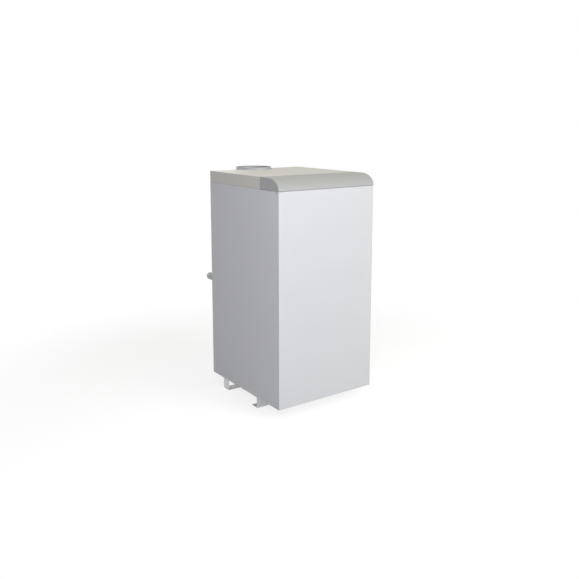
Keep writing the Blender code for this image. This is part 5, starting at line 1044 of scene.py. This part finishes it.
class BOILER_OT_pipework(bpy.types.Operator):
    """Water and gas pipes with their cut threads, the union at the gas valve and the drain cock"""

    bl_idname = "boiler.pipework"
    bl_label = "Pipes and gas valve"

    def execute(self, context):
        threads = context.scene.boiler_threads
        turns = threads.turns
        dress(galvanised_tube(), "flow_pipe", "return_pipe", "gas_inlet_pipe")
        dress(turned_brass(), "drain_cock")
        dress(polished_plastic("red", RED), "drain_cock_lever")
        dress(die_cast(), "gas_valve", "gas_manifold")
        bm = bmesh.new()
        pitch = threads.water_pitch
        for node in ("flow_pipe", "return_pipe"):
            low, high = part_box(node)
            centre = middle(low, high)
            add_thread(bm, (centre.x, high.y - (turns + 1) * pitch, centre.z), BACKWARD,
                       high.x - centre.x, pitch, 0.0007, turns, 40)
        low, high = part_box("gas_inlet_pipe")
        gas_radius, pitch = 0.01345, threads.gas_pitch
        start = (low.x + gas_radius, high.y - (turns + 1) * pitch, high.z - gas_radius)
        add_thread(bm, start, BACKWARD, gas_radius, pitch, 0.0006, turns, 36)
        piece("pipe_threads", bm, threaded_steel())

        low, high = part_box("gas_valve")
        x, y, z = middle(low.x, high.x), high.y - 0.030, 0.092
        front = high.y - 0.060
        union, coil, screws, fittings = (bmesh.new() for _ in range(4))
        inlet = (x, y, high.z + 0.0006)
        add_nut(union, inlet, UP, 0.0205, (0, 0.019), (0.002, 0.002), 8, gas_radius)
        add_nut(union, inlet, UP, 0.0175, (0.0175, 0.026), (0.0013, 0.002), 36, gas_radius)
        add_block(coil, (x - 0.0175, front - 0.021, 0.0745), (x + 0.0175, front - 0.002, 0.1095),
                  0.003, 3)
        add_block(coil, (x - 0.011, front - 0.019, 0.1085), (x + 0.011, front - 0.006, 0.1165),
                  0.0015)
        for dx in (-0.0185, 0.0185):
            for dz in (-0.0245, 0.0245):
                add_pan_screw(screws, (x + dx, front, z + dz), FORWARD, 0.0032, 0.002)
        for dx in (-0.006, 0.0, 0.006):
            add_block(screws, (x + dx - 0.0015, front - 0.0127, 0.116),
                      (x + dx + 0.0015, front - 0.0121, 0.1235), 0.0002, 1)
        test_point = [(0, 0), (0.0045, 0), (0.0045, 0.002), (0.0032, 0.0028), (0.0032, 0.0065),
                      (0.0040, 0.0078), (0.0026, 0.0105), (0.0008, 0.0105), (0.0008, 0.008),
                      (0, 0.008)]
        for height in (0.084, 0.100):
            add_turned(fittings, test_point, (low.x, y, height), (-1, 0, 0), 20)
        injector_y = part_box("gas_manifold")[1].y - 0.0088
        for i in (1, 2, 3):
            bar = middle(*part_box(f"burner_bar_{i}"))
            add_nut(fittings, (bar.x, injector_y, z), BACKWARD, 0.0068, (0, 0.0052),
                    (0.0008, 0.0007), hole=0.0049)
        piece("gas_union", union, threaded_steel())
        piece("valve_coil", coil, glass_filled_nylon())
        piece("valve_screws", screws, bright_zinc())
        piece("gas_fittings", fittings, turned_brass())
        return {"FINISHED"}


class BOILER_OT_burner(bpy.types.Operator):
    """Burner bars with flame ribbons, plates with screws and rope, the pilot tube, the electrode"""

    bl_idname = "boiler.burner"
    bl_label = "Burner and chamber plate"

    def execute(self, context):
        across = context.scene.boiler_fastenings.screw_across
        dress(burner_steel(), "burner_bar_1", "burner_bar_2", "burner_bar_3")
        dress(aluminised_sheet(), "burner_tray", "burner_plate", "chamber_plate")
        dress(glazed_ceramic(), "ignition_electrode")
        dress(sight_pane(), "sight_glass")
        dress(bright_zinc(), "sight_glass_flap")
        bm = bmesh.new()
        start, folds, wave, half = -0.142, 70, 0.0022, 0.0012
        for i in (1, 2, 3):
            low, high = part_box(f"burner_bar_{i}")
            x, end = middle(low, high).x, high.y - 0.008
            rows = []
            for j in range(folds + 1):
                ridge = x + (wave if j % 2 else -wave)
                y = start + j * (end - start) / folds
                rows.append([bm.verts.new((ridge + dx, y, high.z + dz)) for dx, dz in
                             ((-half, -half), (-half, half), (half, half), (half, -half))])
            join_rings(bm, rows)
            for rail in (x - 0.0048, x + 0.0048):
                add_block(bm, (rail - 0.0004, start, high.z - 0.0026),
                          (rail + 0.0004, end, high.z + 0.0010), 0.0002, 1)
        piece("burner_ribbons", bm, burner_steel(), sharp=20)

        low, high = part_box("burner_plate")
        upper_low, upper_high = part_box("chamber_plate")
        edge, margin = 0.008, 0.009
        spots = [(side * (high.x - edge), low.y, z) for side in SIDES
                 for z in (low.z + margin, high.z - margin)]
        fasten("burner_plate_screws", {FORWARD: spots}, across=across)
        spots = [(x, upper_high.y - 0.003, z) for x in (low.x + edge, 0.0, high.x - edge)
                 for z in (upper_low.z + margin, upper_high.z - margin)]
        fasten("chamber_plate_screws", {FORWARD: spots}, across=across)
        rivet = {FORWARD: [(-0.055, upper_low.y, 0.194)]}
        fasten("flap_rivet", rivet, add_pan_screw, radius=0.0042, height=0.0018)
        gap = 0.0012
        left, right, y, top = low.x - gap, high.x + gap, high.y + 0.0001, upper_high.z + gap
        rope, tube, nuts = bmesh.new(), bmesh.new(), bmesh.new()
        corners = [(left, y, low.z), (left, y, top), (right, y, top), (right, y, low.z)]
        add_rod(rope, corners, 0.0018, 8, bend=0.004, arcs=6)
        piece("chamber_rope", rope, woven_gasket())
        outlet = Vector((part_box("gas_valve")[1].x, -0.186, 0.1135))
        pilot = Vector((0.0125, low.y, 0.1165))
        route = [outlet - Vector((0.002, 0, 0)), outlet + Vector((0.014, 0, 0)),
                 (-0.004, outlet.y, pilot.z), (pilot.x, -0.182, pilot.z),
                 pilot + Vector((0, 0.001, 0))]
        add_rod(tube, route, 0.0022, 14, bend=0.009)
        piece("pilot_tube", tube, die_cast())
        for end, along in ((pilot, FORWARD), (outlet, (1, 0, 0))):
            add_nut(nuts, end, along, 0.0052, (0, 0.0062), (0.0008, 0.0007), hole=0.0022)
        piece("pilot_nuts", nuts, turned_brass())
        return {"FINISHED"}


class BOILER_OT_wiring(bpy.types.Operator):
    """Runs the gas valve's cable, the ignition lead and the thin tubes of the instruments"""

    bl_idname = "boiler.wiring"
    bl_label = "Cables and capillary tubes"

    def execute(self, context):
        box_low, box_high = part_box("electrical_box")
        exit_y, exit_z = middle(box_low.y, box_high.y), box_low.z
        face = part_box("front_section")[0].y
        valve_low, valve_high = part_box("gas_valve")
        valve_x, plug_y = middle(valve_low.x, valve_high.x), valve_high.y - 0.0709
        pipe_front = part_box("gas_inlet_pipe")[0].y - 0.008
        spark = middle(*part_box("ignition_electrode"))
        spark_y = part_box("ignition_electrode")[0].y
        valve_exit, spark_exit, flow_exit = -0.165, -0.085, 0.135
        bulb_exits = (-0.030, 0.018, 0.070)
        in_box = exit_z + 0.002

        cable, plugs, lead, tubes, pocket = (bmesh.new() for _ in range(5))
        route = [(valve_exit, exit_y, in_box), (valve_exit, exit_y, 0.62),
                 (-0.1675, pipe_front, 0.46), (-0.1675, pipe_front, 0.235),
                 (valve_x - 0.002, plug_y, 0.178), (valve_x, plug_y, 0.136)]
        add_rod(cable, route, 0.0032, 14, bend=0.05)
        piece("valve_cable", cable, cable_sheath("grey", "#4A4B4D"))

        add_block(plugs, (valve_x - 0.0095, plug_y - 0.0060, 0.1168),
                  (valve_x + 0.0095, plug_y + 0.0060, 0.1372), 0.002, 3)
        boot = [(0.0033, 0), (0.0052, 0), (0.0046, 0.009), (0.0033, 0.0095)]
        add_turned(plugs, boot, (valve_x, plug_y, 0.1368), UP, 24)
        for i in range(4):
            z = 0.1205 + i * 0.0034
            add_block(plugs, (valve_x - 0.0098, plug_y - 0.0063, z),
                      (valve_x + 0.0098, plug_y + 0.0063, z + 0.0012), 0.0005, 1)
        cap = [(0, 0.0066), (0.0041, 0.0066), (0.0043, 0), (0.0040, -0.009), (0.0030, -0.0115),
               (0.0021, -0.012)]
        add_turned(plugs, cap, (spark.x, spark_y, spark.z), BACKWARD, 24)
        for x, r in ((valve_exit, 0.0078), (spark_exit, 0.0062), (flow_exit, 0.0050),
                     *((x, 0.0046) for x in bulb_exits)):
            grommet = [(0, 0), (r, 0), (r, 0.0018), (r * 0.82, 0.0030), (r * 0.62, 0.0030),
                       (r * 0.56, 0.0012), (0, 0.0012)]
            add_turned(plugs, grommet, (x, exit_y, exit_z), DOWN, 28)
        for z in (0.26, 0.41, 0.53):
            add_block(plugs, (-0.1440, face - 0.0115, z - 0.0035),
                      (-0.1350, face + 0.0005, z + 0.0035), 0.0015)
        piece("cable_plugs_and_clips", plugs, glass_filled_nylon())

        route = [(spark.x, spark_y - 0.009, spark.z), (spark.x, spark_y - 0.020, spark.z),
                 (spark.x - 0.004, spark_y - 0.024, spark.z + 0.022), (-0.040, -0.186, 0.139),
                 (-0.108, -0.172, 0.141), (-0.1395, face - 0.0075, 0.185),
                 (-0.1395, face - 0.0075, 0.59), (-0.105, -0.200, 0.69),
                 (spark_exit, exit_y, in_box)]
        add_rod(lead, route, 0.0020, bend=0.03)
        piece("ignition_lead", lead, cable_sheath("brick red", "#A8412F"))

        pocket_z, flow_x, flow_z = 0.566, 0.109, 0.555
        for i, x in enumerate(bulb_exits):
            start = 0.0022 * (i - 1)
            route = [(start, face - 0.018, pocket_z), (start, face - 0.034, pocket_z),
                     (start * 3, face - 0.045, pocket_z + 0.03),
                     (x * 0.6, exit_y + 0.020 - 0.003 * i, 0.66), (x, exit_y, in_box)]
            add_rod(tubes, route, 0.0010, 10, bend=0.02)
        route = [(flow_x, face - 0.016, flow_z), (flow_x, face - 0.030, flow_z),
                 (0.112, face - 0.042, 0.59), (flow_exit, exit_y + 0.012, 0.66),
                 (flow_exit, exit_y, in_box)]
        add_rod(tubes, route, 0.0015, bend=0.02)
        piece("capillary_tubes", tubes, drawn_copper())
        well = (0, face, pocket_z)
        add_nut(pocket, well, FORWARD, 0.0115, (-0.001, 0.0092), (0.001, 0.0012))
        add_nut(pocket, well, FORWARD, 0.0060, (0.008, 0.0195), (0.0008, 0.0015), 28)
        add_nut(pocket, (flow_x, face, flow_z), FORWARD, 0.0050, (0.0155, 0.0235),
                (0.0008, 0.001), hole=0.0015)
        piece("sensor_pocket", pocket, turned_brass())
        return {"FINISHED"}


class BOILER_OT_control_panel(bpy.types.Operator):
    """Textured panel and box with screws, the knob with its numbers, and the capped safety reset"""

    bl_idname = "boiler.control_panel"
    bl_label = "Control panel"

    def execute(self, context):
        dress(textured_paint(), "control_panel", "electrical_box")
        dress(zinc_plate(), "thermostat_body", "safety_thermostat")
        black, white = glass_filled_nylon(), printed_ink("white", PRINT_WHITE)
        dress(black, "thermostat_knob", "burner_controller", "safety_thermostat_cap")
        dress(polished_plastic("red", RED), "reset_button")
        low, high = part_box("control_panel")
        face = high.z
        spots = [(x, y, face) for x in (low.x + 0.007, 0.0, high.x - 0.007)
                 for y in (low.y + 0.010, high.y - 0.006)]
        fasten("panel_screws", {UP: spots}, add_pan_screw)
        low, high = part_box("electrical_box")
        spots = [(x, low.y, z) for x in (low.x + 0.012, 0.0, high.x - 0.012)
                 for z in (low.z + 0.010, high.z - 0.012)]
        fasten("box_screws", {FORWARD: spots}, add_pan_screw, radius=0.0032)

        low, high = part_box("thermostat_knob")
        centre = middle(low, high)
        numbers, ring, index = bmesh.new(), bmesh.new(), bmesh.new()
        turn, digits_at, digit_height, marks_at = math.radians(45.0), 0.01625, 0.0031, 0.0182
        temperatures = range(30, 91, 10)
        for i, temperature in enumerate(temperatures):
            spot = on_dial(centre, turn * i, digits_at, low.z + 0.00304)
            add_words(numbers, str(temperature), digit_height, spot)
        for i in range(2 * len(temperatures) - 1):
            spot = on_dial(centre, turn / 2 * i, marks_at, low.z + 0.0026)
            add_plate(numbers, spot, 0.0003, 0.0008, 0.0006)
        piece("knob_numbers", numbers, white, "thermostat_knob")
        profile = [(0.0082, -0.0006), (0.0082, 0.0002), (0.0086, 0.0004), (0.0090, 0.0004),
                   (0.0094, 0.0002), (0.0094, -0.0006)]
        add_turned(ring, profile, (centre.x, centre.y, high.z), UP, 48)
        piece("knob_ring", ring, black, "thermostat_knob")
        triangle = ((0, 0), (0.0018, 0.0042), (-0.0018, 0.0042))
        join_rings(index, [[index.verts.new((centre.x + dx, high.y + 0.0012 + dy, z))
                            for dx, dy in triangle] for z in (face - 0.0002, face + 0.00015)])
        piece("knob_index", index, white)
        low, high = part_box("safety_thermostat_cap")
        centre = middle(low, high)
        knurls, radius = 24, high.x - centre.x + 0.0001
        bm = bmesh.new()
        for i in range(knurls):
            spot = on_dial(centre, 2 * math.pi * i / knurls, radius, centre.z - 0.0006)
            add_plate(bm, spot, 0.0011, 0.0009, 0.0088)
        piece("cap_knurls", bm, black)
        return {"FINISHED"}


class BOILER_OT_switches(bpy.types.Operator):
    """The two rocker switches with their marks: on and off, and sun and snow"""

    bl_idname = "boiler.switches"
    bl_label = "Rocker switches"

    def execute(self, context):
        dress(glass_filled_nylon(), "main_switch", "season_switch")
        dress(polished_plastic("red", RED), "main_switch_rocker")
        dress(polished_plastic("grey-white", "#D9D9D4"), "season_switch_rocker")
        # Each half of a rocker slopes from a low middle, reach away from a high end
        reach, crest, dip, share = 0.01266, 0.00575, 0.004525, 0.52
        tilt = math.atan2(crest - dip, reach)
        height = dip + (crest - dip) * share + 0.00006
        pivot_height, rest_angle = 0.8230, math.radians(-9)
        for name, ink in (("main_switch", printed_ink("white", PRINT_WHITE)),
                          ("season_switch", printed_ink("black", PRINT_BLACK))):
            low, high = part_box(name)
            centre = middle(low, high)
            pivot = Matrix.Translation((centre.x, centre.y, pivot_height))
            pivot @= Matrix.Rotation(rest_angle, 4, "X")
            near, far = (pivot @ Matrix.Translation((0, side * reach * share, height))
                         @ Matrix.Rotation(side * tilt, 4, "X") for side in SIDES)
            bm = bmesh.new()
            if name == "main_switch":
                self.add_mark(bm, far, 0.0007, 0.0046)
                self.add_circle(bm, near, 0.0023, 0.0017)
            else:
                self.add_circle(bm, far, 0.0014, 0.0009)
                for i in range(8):
                    ray = far @ Matrix.Rotation(math.pi * i / 4, 4, "Z")
                    self.add_mark(bm, ray @ Matrix.Translation((0, 0.0024, 0)), 0.0004, 0.0012)
                for i in range(6):
                    arm = near @ Matrix.Rotation(math.pi * i / 3, 4, "Z")
                    self.add_mark(bm, arm @ Matrix.Translation((0, 0.0014, 0)), 0.0004, 0.0028)
                    for side in SIDES:
                        barb = arm @ Matrix.Translation((side * 0.0004, 0.0023, 0))
                        barb @= Matrix.Rotation(-side * 0.9, 4, "Z")
                        self.add_mark(bm, barb, 0.0003, 0.0011)
            piece(f"{name}_marks", bm, ink, f"{name}_rocker")
        return {"FINISHED"}

    @staticmethod
    def add_mark(bm, place, width, length):
        add_plate(bm, place, width, length, 0.00012)

    @staticmethod
    def add_circle(bm, place, outer, inner):
        before, half = len(bm.verts), 0.00006
        profile = [(inner, -half), (inner, half), (outer, half), (outer, -half)]
        add_turned(bm, profile, (0, 0, 0), UP)
        bmesh.ops.transform(bm, matrix=place, verts=list(bm.verts)[before:])


class BOILER_OT_gauges(bpy.types.Operator):
    """Thermometer and pressure gauge: enamelled dials, printed scales, red pointers, lenses"""

    bl_idname = "boiler.gauges"
    bl_label = "Thermometer and pressure gauge"

    def execute(self, context):
        scales = context.scene.boiler_scales
        dress(glass_filled_nylon(), "thermometer_case", "pressure_gauge_case")
        dress(printed_ink("red", RED), "thermometer_pointer", "pressure_gauge_pointer")
        warm = range(scales.coldest, scales.hottest + 1, 20)
        self.make_dial(scales, "thermometer", warm, 4, "°C", 0.78)
        self.make_dial(scales, "pressure_gauge", range(scales.pressure + 1), 5, "bar", 0.74)
        return {"FINISHED"}

    def make_dial(self, scales, name, numbers, between, unit, red_from):
        """One gauge, with so many steps between two numbers and its red part from a share on."""
        low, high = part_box(f"{name}_case")
        centre = middle(low, high)
        dial, face, ink_thickness = high.z - 0.004, 0.0206, 0.00008
        height, sweep = dial + 0.00015, scales.sweep

        def turned(part, profile, level, steps, material):
            bm = bmesh.new()
            add_turned(bm, profile, (centre.x, centre.y, level), UP, steps)
            piece(f"{name}_{part}", bm, material)

        hub, under, over = 0.0012, 0.00002, 0.00012
        plate = [(hub, under), (face, under), (face, over), (hub, over)]
        turned("dial", plate, dial, 64, enamelled_dial())

        ink, red = bmesh.new(), bmesh.new()
        marks = (len(numbers) - 1) * between
        marks_end, digits_at, unit_below = 0.0192, 0.0130, 0.0125
        short, long = (0.0016, 0.00024), (0.0030, 0.00042)
        for i in range(marks + 1):
            length, width = short if i % between else long
            spot = on_dial(centre, sweep * (0.5 - i / marks), marks_end - length / 2, height)
            add_plate(ink, spot, width, length, ink_thickness)
        for i, number in enumerate(numbers):
            angle = sweep * (0.5 - i / (len(numbers) - 1))
            spot = on_dial(centre, angle, digits_at, height + 0.00002).to_translation()
            add_words(ink, str(number), scales.digit_height, Matrix.Translation(spot))
        spot = Matrix.Translation((centre.x, centre.y - unit_below, height))
        add_words(ink, unit, scales.digit_height * 0.9, spot)
        steps, band, band_width, band_edge = 18, 0.01985, 0.0008, 0.0200
        for i in range(steps):
            share = red_from + (1 - red_from) * (i + 0.5) / steps
            width = sweep * (1 - red_from) / steps * band_edge
            spot = on_dial(centre, sweep * (0.5 - share), band, height)
            add_plate(red, spot, width, band_width, ink_thickness)
        piece(f"{name}_scale", ink, printed_ink("black", PRINT_BLACK))
        piece(f"{name}_limit", red, printed_ink("red", RED))
        lens = [(0, 0.0029), (0.0170, 0.00275), (face, 0.00255), (face, 0.0034), (0.0170, 0.0037),
                (0, 0.0039)]
        turned("lens", lens, dial, 64, clear_lens())
        hole, rim = 0.0207, high.x - centre.x
        bezel = [(hole, -0.0015), (hole, 0.0001), (0.0211, 0.0004), (rim - 0.0004, 0.0004),
                 (rim + 0.0002, -0.0002), (rim + 0.0002, -0.0038), (hole, -0.0038)]
        turned("bezel", bezel, high.z, 72, glass_filled_nylon())


class BOILER_PT_sidebar(bpy.types.Panel):
    """Lists the boiler's pieces, with the sizes and colours that they are made with"""

    bl_label = "Floor Standing Gas Boiler"
    bl_idname = "BOILER_PT_sidebar"
    bl_space_type = "VIEW_3D"
    bl_region_type = "UI"
    bl_category = "Boiler"

    def draw(self, context):
        layout = self.layout
        for group, (_, title) in GROUPS.items():
            column = layout.box().column()
            column.label(text=title)
            settings = getattr(context.scene, group)
            for name in settings.bl_rna.properties.keys():
                if name not in {"rna_type", "name"}:
                    column.prop(settings, name)
        column = layout.column()
        for operator in OPERATORS:
            column.operator(operator.bl_idname)


OPERATORS = (
    BOILER_OT_stage,
    BOILER_OT_casing,
    BOILER_OT_lid,
    BOILER_OT_door_inside,
    BOILER_OT_steelwork,
    BOILER_OT_draught_hood,
    BOILER_OT_heat_exchanger,
    BOILER_OT_pipework,
    BOILER_OT_burner,
    BOILER_OT_wiring,
    BOILER_OT_control_panel,
    BOILER_OT_switches,
    BOILER_OT_gauges,
)
GROUPS = {
    "boiler_casing": (BoilerCasingLook, "Colours"),
    "boiler_fastenings": (BoilerFastenings, "Fastenings"),
    "boiler_threads": (BoilerThreads, "Pipe threads"),
    "boiler_scales": (BoilerScales, "Dials"),
    "boiler_studio": (BoilerStudio, "Studio"),
}


def register():
    for name, (group, _) in GROUPS.items():
        bpy.utils.register_class(group)
        setattr(bpy.types.Scene, name, PointerProperty(type=group))
    for operator in OPERATORS:
        bpy.utils.register_class(operator)
    bpy.utils.register_class(BOILER_PT_sidebar)


def unregister():
    bpy.utils.unregister_class(BOILER_PT_sidebar)
    for operator in reversed(OPERATORS):
        bpy.utils.unregister_class(operator)
    for name, (group, _) in GROUPS.items():
        delattr(bpy.types.Scene, name)
        bpy.utils.unregister_class(group)


def main():
    """Registers the add-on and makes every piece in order."""
    register()
    for operator in OPERATORS:
        prefix, name = operator.bl_idname.split(".")
        getattr(getattr(bpy.ops, prefix), name)()


if __name__ == "__main__":
    main()
